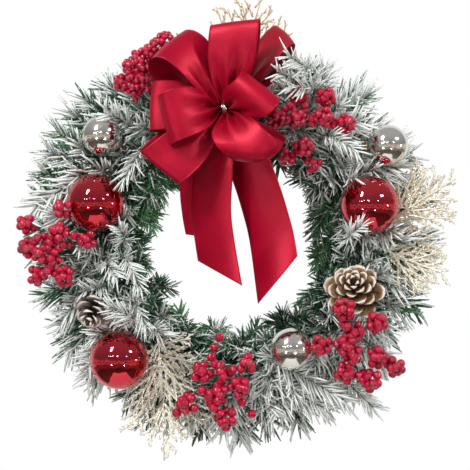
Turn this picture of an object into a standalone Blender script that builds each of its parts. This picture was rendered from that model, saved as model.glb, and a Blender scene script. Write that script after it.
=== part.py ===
"""Flocked pine wreath with a satin bow, berry picks, baubles, pine cones and glittered cedar sprays.

The wreath hangs in the XZ plane and faces -Y. The origin is the hanging point: the underside of the ring
wire at the top, where a hook bears. Lengths are in metres, and MM turns millimetres into them.
"""

import math
import random

import bmesh
import bpy
from mathutils import Matrix, Vector
from mathutils.bvhtree import BVHTree

MM = 0.001

# The steel ring that everything is wound on
RING_RADIUS = 130 * MM
RING_WIRE = 2 * MM
RING_SEGMENTS = 30
RING_SIDES = 5
WIRE_RADIUS = 0.8 * MM
GAP = 0.3 * MM
CENTRE = Vector((0, 0, RING_WIRE - RING_RADIUS))
STRAIGHT_RADIUS = RING_RADIUS * math.cos(math.pi / RING_SEGMENTS)

# Branches: each is a twisted-wire unit wound on a straight stretch of the ring, with six needled sprigs
BRANCHES = 15
HUB_RADIUS = 5.2 * MM
HUB_LENGTH = 12 * MM
HUB_SIDES = 6
STEM_RADIUS = 1.2 * MM
STEM_TIP_RADIUS = 0.8 * MM
BARE_STEM = 12 * MM
WHORL = 2.6 * MM
WHORL_PITCH = 19 * MM
NEEDLE_ANGLE = math.radians(46)
# shares of a needle's length and angle to try, and its room to other pieces at its root and its tip
NEEDLE_TRIES = ((1.0, 1.0), (0.8, 0.7), (0.6, 1.0), (0.45, 0.6))
ROOT_ROOM = 1.5 * MM
TIP_ROOM = 0.7 * MM
# out of the ring's centre, towards the viewer, along the ring, stem length, needle length
SPRIGS = {
    "inner": (-0.80, 0.45, 0.30, 34 * MM, 22 * MM),
    "front": (0.10, 0.85, -0.60, 52 * MM, 26 * MM),
    "face": (0.62, 0.60, 0.50, 72 * MM, 28 * MM),
    "outer": (0.97, 0.12, 0.24, 76 * MM, 29 * MM),
    "back": (0.80, -0.06, -0.60, 78 * MM, 29 * MM),
    "rim": (0.90, 0.32, -0.28, 74 * MM, 28 * MM),
}
# how far a sprig may swing along the ring to get past a decoration, in the order tried
SWINGS = (0.0, 0.3, -0.3, 0.6, -0.6)

# Baubles: ball centre from the ring's centre (x, y, z) in mm, radius, and the ring angle of its wire
BAUBLES = {
    "red_left": ((-142, -48, 41), 30, 162),
    "red_right": ((137, -48, 39), 30, 22),
    "red_low": ((-118, -48, -119), 30, 230),
    "silver_left": ((-136, -45, 110), 21, 138),
    "silver_right": ((156, -45, 100), 21, 41),
    "silver_low": ((57, -60, -107), 21.5, 304),
}
# necks and caps, in mm
NECK_RADIUS = 5.5
NECK_LENGTH = 4.0
CAP_OVERLAP = 2.5
CAP_WALL = 0.8
CAP_SIDES = 7

# Berry picks: three berries to a bunch, the wire stem and its stalks
BERRY_RADIUS = 4.6 * MM
BUNCH_SPREAD = 4.1 * MM
PICK_STEM = 1.3 * MM
STALK = 1.1 * MM
# ring angle of the stem, then each bunch's centre (x, y, z) in mm
PICKS = {
    "top_left": (114, ((-73, -54, 206), (-94, -56, 184), (-113, -56, 163), (-88, -62, 160))),
    "top_right": (63, (
        (66, -64, 150), (96, -60, 145), (112, -62, 120), (80, -68, 121), (56, -64, 96),
    )),
    "left": (186, (
        (-206, -50, 16), (-174, -62, 4), (-199, -54, -18), (-172, -60, -33), (-184, -56, 33),
    )),
    "bottom": (260, (
        (-20, -58, -108), (8, -62, -130), (-30, -62, -140), (-48, -60, -165), (-8, -62, -176),
    )),
    "right": (324, (
        (97, -76, -84), (146, -64, -86), (122, -64, -106), (158, -58, -122), (118, -62, -138),
    )),
}

# Pine cones: how thick a scale's lip is, and where the scales start and end along the cone
SCALE_LIP = 2 * MM
SCALES_FROM = 0.04
SCALES_OVER = 0.78
# base (x, y, z) in mm, where the tip points, length, radius, rows of scales, scales a row, ring angle
CONES = {
    "right": ((124, -36, -54), (-0.05, -0.94, 0.28), 46, 31, 6, 9, 336),
    "left": ((-142, -40, -64), (-0.22, -0.80, -0.55), 36, 20, 5, 7, 210),
}

# Cedar sprays: flat, with twigs along both edges of every stem
CEDAR_PITCH = 11 * MM
CEDAR_TWIG = 20 * MM
CEDAR_STEM = 1.2 * MM
CEDAR_LEAN = math.radians(30)
# side stems: share of the spray's length where each leaves, its angle, its length as a share
CEDAR_SIDES = ((0.0, 0, 1.0), (0.10, 36, 0.62), (0.24, -36, 0.56), (0.38, 36, 0.44), (0.52, -36, 0.38))
# root (x, y, z) in mm, where it points, length, ring angle
CEDARS = {
    "top": ((2, -26, 150), (0.20, -0.22, 1.0), 108, 86),
    "right_high": ((150, -16, 16), (0.78, -0.28, 0.62), 92, 13),
    "right_low": ((152, -24, -6), (1.0, -0.26, -0.12), 80, 354),
    "bottom": ((-78, -12, -98), (-0.15, -0.25, -1.0), 116, 239),
}

# Bow: ends of each loop's outer fold (x, y, z) in mm, half thickness, and the side of the knot it leaves
RIBBON_WIDTH = 50 * MM
RIBBON_THICKNESS = 0.8 * MM
KNOT = (-11, -74, 137)
KNOT_ANGLE = 95
WAIST = 4 * MM
WAIST_LENGTH = 20 * MM
TAIL_FOLD = 1.9 * MM
TIE_WIRE = 0.7 * MM
PINCHED = 0.14
RIBBON_STEPS = 9
LOOPS = {
    "up_left": ((-49, -72, 214), (-81, -96, 184), 17, -1),
    "up": ((-24, -76, 218), (23, -84, 223), 13, 1),
    "up_right": ((40, -66, 220), (68, -72, 182), 9, 1),
    "left": ((-82, -84, 161), (-84, -90, 112), 9, -1),
    "left_front": ((-75, -112, 143), (-61, -108, 96), 14, -1),
    "low_left": ((-93, -92, 90), (-57, -92, 60), 8, -1),
    "right": ((5, -106, 168), (43, -118, 137), 13, 1),
    "low_right": ((3, -100, 75), (43, -114, 98), 17, 1),
}
# Tails: centre line from the knot down (x, y, z) in mm, then the turn about the vertical, and the slant of
# the cut as a percentage of the length: the left edge is shorter where it is negative
TAILS = {
    "left": (
        ((-17, -64, 125), (-20, -62, 100), (-23, -62, 60), (-24, -62, 30), (-20, -60, -2), (-13, -58, -42)),
        -36, -9,
    ),
    "left_back": (((-20, -58, 125), (-27, -46, 100), (-33, -40, 60), (-31, -38, 30), (-26, -38, 2)), -20, -5),
    "right": (
        ((-5, -62, 125), (6, -58, 100), (21, -58, 62), (31, -57, 30), (38, -55, 0), (46, -53, -62)),
        -24, 24,
    ),
}


def at(x, y, z):
    """A point in millimetres from the ring's centre, in the part's own frame."""
    return CENTRE + Vector((x, y, z)) * MM


def ring_directions(degrees):
    """Outwards and along the ring, at an angle from +X towards +Z."""
    a = math.radians(degrees)
    return Vector((math.cos(a), 0, math.sin(a))), Vector((-math.sin(a), 0, math.cos(a)))


def ring_point(degrees, radius=RING_RADIUS):
    return CENTRE + ring_directions(degrees)[0] * radius


def material(name, colour, roughness, metallic=0.0):
    made = bpy.data.materials.new(name)
    made.use_nodes = True
    shader = made.node_tree.nodes["Principled BSDF"]
    shader.inputs["Base Color"].default_value = (*colour, 1.0)
    shader.inputs["Roughness"].default_value = roughness
    shader.inputs["Metallic"].default_value = metallic
    made.diffuse_color = (*colour, 1.0)
    return made


def loose_object(name, mesh):
    obj = bpy.data.objects.new(name, mesh)
    bpy.context.scene.collection.objects.link(obj)
    return obj


def evaluated_mesh(obj):
    graph = bpy.context.evaluated_depsgraph_get()
    return bpy.data.meshes.new_from_object(obj.evaluated_get(graph))


def from_bmesh(name, bm):
    mesh = bpy.data.meshes.new(name)
    bm.to_mesh(mesh)
    bm.free()
    return loose_object(name, mesh)


def tube(name, points, radii):
    """A wire or stem as a four-sided mesh: a bevelled curve with its caps welded on."""
    curve = bpy.data.curves.new(name, "CURVE")
    curve.dimensions = "3D"
    curve.bevel_depth = MM
    curve.bevel_resolution = 0
    curve.use_fill_caps = True
    spline = curve.splines.new("POLY")
    spline.points.add(len(points) - 1)
    for knot, point, radius in zip(spline.points, points, radii):
        knot.co = (*point, 1.0)
        knot.radius = radius / MM
    guide = loose_object(name, curve)
    mesh = evaluated_mesh(guide)
    bpy.data.objects.remove(guide)
    bm = bmesh.new()
    bm.from_mesh(mesh)
    bmesh.ops.remove_doubles(bm, verts=bm.verts, dist=MM / 1000)
    bmesh.ops.recalc_face_normals(bm, faces=bm.faces)
    return from_bmesh(name, bm)


def union(name, pieces, finish):
    """One solid from overlapping pieces."""
    first, rest = pieces[0], pieces[1:]
    if rest:
        group = bpy.data.collections.new(name + "_pieces")
        bpy.context.scene.collection.children.link(group)
        for piece in rest:
            bpy.context.scene.collection.objects.unlink(piece)
            group.objects.link(piece)
        joined = first.modifiers.new("joined", "BOOLEAN")
        joined.operation = "UNION"
        joined.operand_type = "COLLECTION"
        joined.collection = group
        joined.solver = "MANIFOLD"
    mesh = evaluated_mesh(first)
    bpy.data.objects.remove(first)
    for piece in rest:
        bpy.data.objects.remove(piece)
    if rest:
        bpy.data.collections.remove(group)
    drop_scraps(mesh)
    return keep(name, mesh, finish)


def keep(name, mesh, finish):
    """Makes a mesh one of the wreath's named pieces."""
    mesh.materials.clear()
    mesh.materials.append(finish)
    obj = bpy.data.objects.new(name, mesh)
    WREATH.objects.link(obj)
    return obj


def drop_scraps(mesh):
    """Keeps the largest connected body of a mesh, and removes needle ends that a cut left loose."""
    bm = bmesh.new()
    bm.from_mesh(mesh)
    left, bodies = set(bm.verts), []
    while left:
        body, front = set(), [left.pop()]
        while front:
            vert = front.pop()
            body.add(vert)
            near = {edge.other_vert(vert) for edge in vert.link_edges} & left
            left -= near
            front.extend(near)
        bodies.append(body)
    bodies.sort(key=len)
    for body in bodies[:-1]:
        bmesh.ops.delete(bm, geom=list(body), context="VERTS")
    bm.to_mesh(mesh)
    bm.free()


def surroundings(objects):
    """A search tree over the surfaces of the pieces made so far."""
    points, faces = [], []
    for obj in objects:
        start = len(points)
        points.extend(obj.matrix_world @ vert.co for vert in obj.data.vertices)
        faces.extend([start + i for i in face.vertices] for face in obj.data.polygons)
    return BVHTree.FromPolygons(points, faces)


def is_clear(trees, start, end, start_room, end_room, step=1.4 * MM):
    """Whether a tapering blade from start to end stays that far from everything in the trees."""
    steps = max(2, math.ceil((end - start).length / step))
    for i in range(steps + 1):
        share = i / steps
        room = start_room + (end_room - start_room) * share
        point = start.lerp(end, share)
        if any(tree.find_nearest(point, room)[0] is not None for tree in trees):
            return False
    return True


def smooth_path(points, count):
    """Points at even steps along a Catmull-Rom curve through a few chosen ones."""
    ends = [points[0] * 2 - points[1], *points, points[-1] * 2 - points[-2]]
    path = []
    for i in range(count + 1):
        place = min(i / count * (len(points) - 1), len(points) - 1 - 1e-9)
        k, t = int(place), place % 1.0
        a, b, c, d = ends[k : k + 4]
        path.append(
            0.5 * (2 * b + (c - a) * t + (2 * a - 5 * b + 4 * c - d) * t**2 + (3 * b - a - 3 * c + d) * t**3)
        )
    return path


def wire_path(start, middle, degrees, radius):
    """From a piece's back to the ring: to a point beside it, then three quarters of a turn round its wire."""
    out, _ = ring_directions(degrees)
    centre = ring_point(degrees)
    turn = math.radians(270)
    reach = (RING_WIRE + GAP + radius) / math.cos(turn / 8)
    near = (middle - centre).dot(out), (middle - centre).y
    distance = math.hypot(*near)
    first = math.atan2(near[1], near[0]) + math.acos(reach / distance)
    arc = []
    for i in range(5):
        a = first + turn * i / 4
        arc.append(centre + out * math.cos(a) * reach + Vector((0, math.sin(a), 0)) * reach)
    return [start, middle, *arc]


def beside_ring(towards, degrees, distance=14 * MM):
    """A point in the plane across the ring at that angle, on the side of the piece that hangs there."""
    out, _ = ring_directions(degrees)
    offset = towards - ring_point(degrees)
    flat = out * offset.dot(out) + Vector((0, offset.y, 0))
    return ring_point(degrees) + flat.normalized() * distance


def build_ring(finish):
    bpy.ops.mesh.primitive_torus_add(
        major_segments=RING_SEGMENTS, minor_segments=RING_SIDES, major_radius=RING_RADIUS,
        minor_radius=RING_WIRE, location=CENTRE, rotation=(math.radians(90), 0, 0),
    )
    torus = bpy.context.object
    mesh = torus.data
    mesh.transform(torus.matrix_world)
    bpy.data.objects.remove(torus)
    return keep("ring_wire", mesh, finish)


def turned(name, profile, segments):
    """A profile of (radius, height) pairs in millimetres, from the lower pole up, turned about Z."""
    bm = bmesh.new()
    verts = [bm.verts.new((r * MM, 0, h * MM)) for r, h in profile]
    edges = [bm.edges.new(pair) for pair in zip(verts, verts[1:])]
    bmesh.ops.spin(
        bm, geom=verts + edges, cent=(0, 0, 0), axis=(0, 0, 1), angle=math.tau, steps=segments, use_merge=True,
    )
    bmesh.ops.remove_doubles(bm, verts=bm.verts, dist=MM / 100)
    bmesh.ops.recalc_face_normals(bm, faces=bm.faces)
    return from_bmesh(name, bm)


def stand(obj, base, direction):
    """Moves a shape made along +Z so that it starts at base and points along direction."""
    turn = direction.to_track_quat("Z", "Y").to_matrix().to_4x4()
    obj.data.transform(Matrix.Translation(base) @ turn)
    return obj


def build_bauble(name, centre, radius, degrees, ball_finish, cap_finish):
    """A ball with a short neck at its back, and the cap on that neck with its wire to the ring."""
    centre = at(*centre)
    back = (beside_ring(centre, degrees, 16 * MM) - centre).normalized()
    rings = 7 if radius > 25 else 6
    meet = math.acos(NECK_RADIUS / radius)
    top = [-math.pi / 2 + (math.pi / 2 + meet) * i / rings for i in range(rings + 1)]
    ball = [(radius * math.cos(a), radius * math.sin(a)) for a in top]
    ball[0] = (0.0, -radius)
    rim = ball[-1][1]
    profile = [*ball, (NECK_RADIUS, rim + NECK_LENGTH), (0.0, rim + NECK_LENGTH)]
    shape = stand(turned(name, profile, 12 if radius > 25 else 10), centre, back)
    pieces = [union("bauble_" + name, [shape], ball_finish)]
    gap = GAP / MM
    inside = (NECK_RADIUS + gap) / math.cos(math.pi / CAP_SIDES)
    outside = inside + CAP_WALL
    low, roof = rim + NECK_LENGTH - CAP_OVERLAP, rim + NECK_LENGTH + gap
    skirt = [(inside, roof), (inside, low), (outside, low), (outside, roof + CAP_WALL)]
    cap = stand(turned("cap", [(0.0, roof), *skirt, (0.0, roof + CAP_WALL)], CAP_SIDES), centre, back)
    start = centre + back * (roof + CAP_WALL / 2) * MM
    path = wire_path(start, beside_ring(centre, degrees), degrees, WIRE_RADIUS)
    wire = tube("wire", path, [WIRE_RADIUS] * len(path))
    pieces.append(union("bauble_cap_" + name, [cap, wire], cap_finish))
    return pieces


def build_pick(name, degrees, bunches, finish):
    """A berry pick: a wire stem on the ring that forks to a stalk for each bunch of berries."""
    middle = sum((at(*bunch) for bunch in bunches), Vector()) / len(bunches)
    fork = beside_ring(middle, degrees, 20 * MM)
    path = wire_path(fork + (fork - ring_point(degrees)) * 0.3, fork, degrees, WIRE_RADIUS)
    pieces = [tube("stem", path, [PICK_STEM] * 2 + [WIRE_RADIUS] * (len(path) - 2))]
    for i, bunch in enumerate(bunches):
        tip = at(*bunch)
        bend = fork.lerp(tip, 0.6)
        bend.y = fork.y * 0.75 + tip.y * 0.25
        stalk = smooth_path([fork, bend, tip], 2)
        pieces.append(tube("stalk", stalk, [STALK] * 3))
        along = (stalk[-1] - stalk[-2]).normalized()
        side = along.cross(Vector((0, 1, 0))).normalized()
        side = Matrix.Rotation(i * 2.4, 3, along) @ side * BUNCH_SPREAD
        low = tip - along * 5 * MM
        for place in (tip + along * 2.6 * MM, low + side, low - side):
            bm = bmesh.new()
            bmesh.ops.create_icosphere(
                bm, subdivisions=1, radius=BERRY_RADIUS, matrix=Matrix.Translation(place),
            )
            pieces.append(from_bmesh("berry", bm))
    return union("berries_" + name, pieces, finish)


def raise_scales(bm, rows, around, length, radius):
    """Draws each side face of a cone's core out into a woody scale, alternate rows turned half a scale."""
    sides = [face for face in bm.faces if len(face.verts) == 4]
    bmesh.ops.inset_individual(bm, faces=sides, thickness=0.5 * MM)
    pitch = math.tau / around
    for face in sides:
        middle = face.calc_center_median()
        row = round((middle.z / MM / length - SCALES_FROM) / SCALES_OVER * rows - 0.5)
        share = row / (rows - 1)
        reach = radius * (1.0 - 0.58 * share**1.4) * MM
        lift = length * (0.02 + 0.20 * share) * MM
        facing = math.atan2(middle.y, middle.x)
        for vert in face.verts:
            swing = math.remainder(math.atan2(vert.co.y, vert.co.x) - facing, math.tau)
            a = facing + math.copysign(pitch * 0.36, swing) + pitch * 0.25 * (-1) ** row
            half = math.copysign(SCALE_LIP / 2, vert.co.z - middle.z)
            vert.co = (reach * math.cos(a), reach * math.sin(a), middle.z + lift + half)


def build_cone(name, base, direction, length, radius, rows, around, degrees, finish, wire_finish):
    """A pine cone: a slim core with rows of scales, and the wire that holds its base to the ring."""
    base, direction = at(*base), Vector(direction).normalized()
    profile = [(0.0, 0.0)]
    for i in range(rows + 1):
        share = i / rows
        profile.append((radius * (0.36 - 0.20 * share), length * (SCALES_FROM + SCALES_OVER * share)))
    core = turned("core", [*profile, (0.0, length)], around)
    bm = bmesh.new()
    bm.from_mesh(core.data)
    bpy.data.objects.remove(core)
    raise_scales(bm, rows, around, length, radius)
    cone = union("cone_" + name, [stand(from_bmesh("cone", bm), base, direction)], finish)
    start = base - direction * GAP
    middle = beside_ring(base, degrees)
    path = wire_path(start - direction * 0.6 * MM, middle, degrees, WIRE_RADIUS)
    plate = stand(turned("plate", [(0.0, -1.2), (4.0, -1.2), (4.0, 0.0), (0.0, 0.0)], 6), start, direction)
    wire = tube("wire", path, [WIRE_RADIUS] * len(path))
    return [cone, union("cone_wire_" + name, [plate, wire], wire_finish)]


def side_faces(bm, start, end):
    """The faces of a stem between two points on its axis, in order round it."""
    axis = (end - start).normalized()
    length = (end - start).length
    found = []
    for face in bm.faces:
        middle = face.calc_center_median()
        along = (middle - start).dot(axis)
        close = (middle - start - axis * along).length < 3 * STEM_RADIUS
        if close and abs(along - length / 2) < length * 0.2 and abs(face.normal.dot(axis)) < 0.5:
            found.append(face)
    return found


def raise_needle(bm, face, tip):
    """Draws one face of a stem out into a needle that ends at its tip."""
    made = bmesh.ops.poke(bm, faces=[face])
    made["verts"][0].co = tip


def edge_direction(away, axis, flat_normal):
    """Where a flat spray's face points along the spray, or nothing if the face isn't at one of its edges."""
    across = axis.cross(flat_normal).normalized()
    if away.dot(across) < 0:
        across = -across
    return across if away.dot(across) > 0.7 and away.dot(flat_normal) > 0 else None


def needled_stem(name, path, radii, whorls, needle, lean, trees, flat_normal=None):
    """A stem with needles raised from its faces at each whorl, shortened where they would touch a neighbour.

    whorls are the stretches of the path that carry needles, each with a share of the needles' length. With
    flat_normal, only the faces at the two edges of a flat spray carry them.
    """
    stem = tube(name, path, radii)
    bm = bmesh.new()
    bm.from_mesh(stem.data)
    bpy.data.objects.remove(stem)
    for start, end, share in whorls:
        axis = (end - start).normalized()
        for face in side_faces(bm, start, end):
            middle = face.calc_center_median()
            away = (face.normal - axis * face.normal.dot(axis)).normalized()
            if flat_normal is not None:
                away = edge_direction(away, axis, flat_normal)
            if away is None:
                continue
            for length, angle in NEEDLE_TRIES:
                aim = axis * math.cos(lean * angle) + away * math.sin(lean * angle)
                tip = middle + aim * needle * share * length
                if is_clear(trees, middle, tip, ROOT_ROOM, TIP_ROOM):
                    raise_needle(bm, face, tip)
                    break
    last = path[-1]
    ahead = (last - path[-2]).normalized()
    cap = min(bm.faces, key=lambda face: (face.calc_center_median() - last).length)
    for length in (0.7, 0.4):
        tip = last + ahead * needle * length
        if cap.normal.dot(ahead) > 0.9 and is_clear(trees, last, tip, ROOT_ROOM, TIP_ROOM):
            raise_needle(bm, cap, tip)
            break
    return from_bmesh(name, bm)


def obstacles():
    """Balls that stand for the decorations, so that stems bend round them: (centre, radius)."""
    found = [(at(*centre), radius * MM) for centre, radius, _ in BAUBLES.values()]
    for base, direction, length, radius, *_ in CONES.values():
        found.append((at(*base) + Vector(direction).normalized() * length * 0.35 * MM, radius * MM))
    for _, bunches in PICKS.values():
        found.extend((at(*bunch), 11 * MM) for bunch in bunches)
    for start, end, _, _ in LOOPS.values():
        fold = (at(*start) + at(*end)) / 2
        for share in (0.25, 0.5, 0.75, 1.0):
            found.append((at(*KNOT).lerp(fold, share), (10 + 15 * share) * MM))
    return found


def stem_path(root, direction, bend, length, count, balls):
    """A stem's line: it leaves along direction, sags along bend, and is pushed out of the balls it meets."""
    path = []
    for i in range(count + 1):
        s = i / count
        point = root + direction * length * s + bend * length * s**2
        for _ in range(2):
            for centre, radius in balls:
                away = point - centre
                room = radius + 4 * MM
                if s > 0.1 and away.length < room:
                    point = centre + away.normalized() * room
        path.append(point)
    for _ in range(2):
        path = [
            point if i in (0, count) else point * 0.5 + (path[i - 1] + path[i + 1]) * 0.25
            for i, point in enumerate(path)
        ]
    return path


def sprig_line(branch, kind, swing, balls):
    """One sprig's centre line, from its branch's hub, by the rule for its kind and a seeded spread."""
    draw = random.Random(f"{branch} {kind}")
    outwards, forwards, along, length, needle = SPRIGS[kind]
    degrees = branch_angle(branch)
    out, tangent = ring_directions(degrees)
    hand = 1 if branch % 2 else -1
    direction = (
        out * (outwards + draw.uniform(-0.08, 0.08))
        + Vector((0, -1, 0)) * (forwards + draw.uniform(-0.12, 0.08))
        + tangent * (along * hand + draw.uniform(-0.15, 0.15) + swing)
    ).normalized()
    length *= draw.uniform(0.90, 1.06)
    bend = (tangent * draw.uniform(-0.14, 0.14) + Vector((0, 0, -0.06)) + out * 0.05)
    root = ring_point(degrees, STRAIGHT_RADIUS) + tangent * draw.uniform(-3, 3) * MM + direction * 3.8 * MM
    return stem_path(root, direction, bend, length, 12, balls), needle


def longest_line(branch, kind, balls, tree):
    """The sprig's line at the swing that lets it grow longest, its length, and the length of its needles."""
    best, reach = None, 0.0
    for swing in SWINGS:
        line, needle = sprig_line(branch, kind, swing, balls)
        clear = line[:1] + cut_short(line[1:], [tree], STEM_RADIUS + 0.9 * MM)
        length = path_length(clear)
        if length > reach * 1.1:
            best, reach = clear, length
        if len(clear) == len(line):
            break
    return best, reach, needle


def path_length(path):
    return sum((end - start).length for start, end in zip(path, path[1:]))


def point_along(path, distance):
    for start, end in zip(path, path[1:]):
        step = (end - start).length
        if distance <= step:
            return start.lerp(end, distance / step)
        distance -= step
    return path[-1]


def cut_short(path, trees, room):
    """The stretch of a path, from its root, that stays clear of everything in the trees."""
    for i in range(1, len(path)):
        if not is_clear(trees, path[i - 1], path[i], room, room):
            return path[:i]
    return path


def build_sprig(branch, kind, balls, tree, sisters):
    """One sprig as a mesh; its needles also keep clear of the sprigs that its branch already has."""
    line, total, needle = longest_line(branch, kind, balls, tree)
    if total < BARE_STEM + WHORL:
        return None
    count = max(1, round((total - BARE_STEM) / WHORL_PITCH))
    pitch = (total - BARE_STEM) / count
    marks, whorls = [0.0], []
    for i in range(count):
        end = BARE_STEM + (i + 1) * pitch - (MM if i == count - 1 else 0)
        marks.extend((end - WHORL, end))
    path = [point_along(line, mark) for mark in marks] + [line[-1]]
    radii = [STEM_RADIUS + (STEM_TIP_RADIUS - STEM_RADIUS) * i / (len(path) - 1) for i in range(len(path))]
    for i in range(count):
        taper = 1.0 if i < count - 2 else 0.85
        whorls.append((path[2 * i + 1], path[2 * i + 2], taper))
    return needled_stem(kind, path, radii, whorls, needle, NEEDLE_ANGLE, [tree, surroundings(sisters)])


def branch_angle(branch):
    """The middle of a straight stretch of the ring, one stretch in two."""
    return (branch + 0.25) * 360 / BRANCHES


def build_hub(degrees):
    """The turns of wire that grip the ring, as one sleeve round a straight stretch of it."""
    _, tangent = ring_directions(degrees)
    bore = (RING_WIRE + GAP) / math.cos(math.pi / HUB_SIDES) / MM
    outside, half = HUB_RADIUS / MM, HUB_LENGTH / 2 / MM
    outline = [(bore, -half), (outside, -half), (outside, half), (bore, half)]
    sleeve = turned("hub", [*outline, outline[0]], HUB_SIDES)
    return stand(sleeve, ring_point(degrees, STRAIGHT_RADIUS), tangent)


def build_branch(branch, balls, placed, finish):
    """One branch unit: its sleeve on the ring, and its sprigs."""
    tree = surroundings(placed)
    sprigs = []
    for kind in SPRIGS:
        sprig = build_sprig(branch, kind, balls, tree, sprigs)
        if sprig:
            sprigs.append(sprig)
    return union(f"branch_{branch + 1:02d}", [build_hub(branch_angle(branch)), *sprigs], finish)


def build_cedar(name, root, direction, length, degrees, finish, tree):
    """A flat cedar spray: a stem from the ring, side stems in one plane, and twigs raised from their edges."""
    root, direction = at(*root), Vector(direction).normalized()
    facing = Vector((0, -1, 0))
    facing = (facing - direction * facing.dot(direction)).normalized()
    across = direction.cross(facing)
    pieces = []
    for start, degrees_aside, share in CEDAR_SIDES:
        angle = math.radians(degrees_aside)
        base = root + direction * length * start * MM
        aim = direction * math.cos(angle) + across * math.sin(angle)
        reach = length * share * MM
        count = max(3, round(reach / CEDAR_PITCH))
        path = [base + aim * reach * k / count for k in range(count + 1)]
        path = cut_short(path, [tree], CEDAR_STEM + 0.6 * MM)
        if len(path) < 3:
            continue
        radii = [CEDAR_STEM - 0.5 * MM * k / count for k in range(len(path))]
        whorls = list(zip(path[1:], path[2:], [1.0] * len(path)))
        pieces.append(
            needled_stem("twig", path, radii, whorls, CEDAR_TWIG, CEDAR_LEAN, [tree], flat_normal=facing)
        )
    path = wire_path(root, beside_ring(root, degrees), degrees, WIRE_RADIUS)
    pieces.append(tube("stem", path, [CEDAR_STEM] * 2 + [WIRE_RADIUS] * (len(path) - 2)))
    return union("cedar_" + name, pieces, finish)


def ribbon(name, place):
    """A strip of ribbon: a grid laid out by place(share along, share across from -1 to 1), made thick."""
    bm = bmesh.new()
    bmesh.ops.create_grid(bm, x_segments=RIBBON_STEPS, y_segments=2, size=1.0)
    for vert in bm.verts:
        vert.co = place((vert.co.x + 1) / 2, vert.co.y)
    strip = from_bmesh(name, bm)
    thick = strip.modifiers.new("thickness", "SOLIDIFY")
    thick.thickness = RIBBON_THICKNESS
    thick.offset = 0.0
    made = loose_object(name, evaluated_mesh(strip))
    bpy.data.objects.remove(strip)
    return made


def pinch(share):
    """How much of the ribbon's width is open, from the gathered knot outwards."""
    t = min(1.0, share)
    return PINCHED + (1 - PINCHED) * t * t * (3 - 2 * t)


def loop_place(start, end, thickness, side):
    """The shape of one bow loop: a teardrop from the knot out to the fold and back, pinched at the knot."""
    start, end = at(*start), at(*end)
    root = at(*KNOT) + Vector((side * 6.5 * MM, 0, 0))
    fold = (start + end) / 2
    wide = (end - start).normalized()
    reach = fold - root
    face = reach.cross(wide).normalized()
    if face.y > 0:
        face = -face
    bulge = thickness * MM

    def place(t, v):
        out = 4 * t * (1 - t)
        lift = 10.4 * t * (1 - t) * (1 - 2 * t) * bulge + (1 - 2 * t) * MM
        width = RIBBON_WIDTH / 2 * pinch(out * 1.25)
        return root + reach * out + face * lift + wide * v * width

    return place


def tail_place(name, points, turn, cut, behind):
    """The shape of one tail: its centre line from the fold behind the knot, opening to the full width."""
    side = -7 * MM if name.startswith("left") else 7 * MM
    line = smooth_path([at(*KNOT) + Vector((side, behind, 0)), *(at(*point) for point in points)], 40)
    length = path_length(line)

    def place(t, v):
        shorter = (1 + v) / 2 * cut if cut > 0 else (v - 1) / 2 * cut
        point = point_along(line, t * length * (1 - shorter / 100))
        opened = min(1.0, t * 3)
        a = math.radians(turn) * opened
        wide = Vector((math.cos(a), math.sin(a), 0))
        curl = Vector((0, -1, 0)) * (1 - v * v) * 4 * MM * opened
        return point + wide * v * RIBBON_WIDTH / 2 * pinch(t * 3.2) + curl

    return place


def rod(name, centre, radius, sides):
    """A short bar of gathered ribbon that lies across the knot."""
    bm = bmesh.new()
    place = Matrix.Translation(centre) @ Matrix.Rotation(math.radians(90), 4, "Y")
    bmesh.ops.create_cone(
        bm, cap_ends=True, segments=sides, radius1=radius, radius2=radius, depth=WAIST_LENGTH, matrix=place,
    )
    return from_bmesh(name, bm)


def build_bow(finish, tie_finish):
    """The bow: a ribbon gathered into loops, one folded for the tails, and the wire that ties both."""
    knot = at(*KNOT)
    pieces = [rod("waist", knot, WAIST, 8)]
    for name, (start, end, thickness, side) in LOOPS.items():
        pieces.append(ribbon(name, loop_place(start, end, thickness, side)))
    loops = union("bow_loops", pieces, finish)

    behind = WAIST + GAP + TAIL_FOLD
    pieces = [rod("fold", knot + Vector((0, behind, 0)), TAIL_FOLD, 6)]
    for name, (points, turn, cut) in TAILS.items():
        pieces.append(ribbon(name, tail_place(name, points, turn, cut, behind)))
    tails = union("bow_tails", pieces, finish)

    high = WAIST + GAP + TIE_WIRE
    back = behind + TAIL_FOLD + GAP + TIE_WIRE
    half = [(-high, 0.0), (-high * 0.7, 0.75), (0.0, 1.0), (back * 0.55, 1.0), (back, 0.5)]
    other = [(y, -z) for y, z in reversed(half[1:])]
    path = [knot + Vector((0, y, z * high)) for y, z in [*half, *other, (-high, -0.12)]]
    tie = tube("tie", path, [TIE_WIRE] * len(path))
    beside = beside_ring(knot, KNOT_ANGLE, 20 * MM)
    lead = wire_path(knot + Vector((0, back, 0)), beside, KNOT_ANGLE, WIRE_RADIUS)
    stay = tube("stay", lead, [WIRE_RADIUS] * len(lead))
    return [loops, tails, union("bow_tie", [tie, stay], tie_finish)]


for old in list(bpy.data.objects):
    bpy.data.objects.remove(old)
WREATH = bpy.data.collections.new("wreath")
bpy.context.scene.collection.children.link(WREATH)


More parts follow.
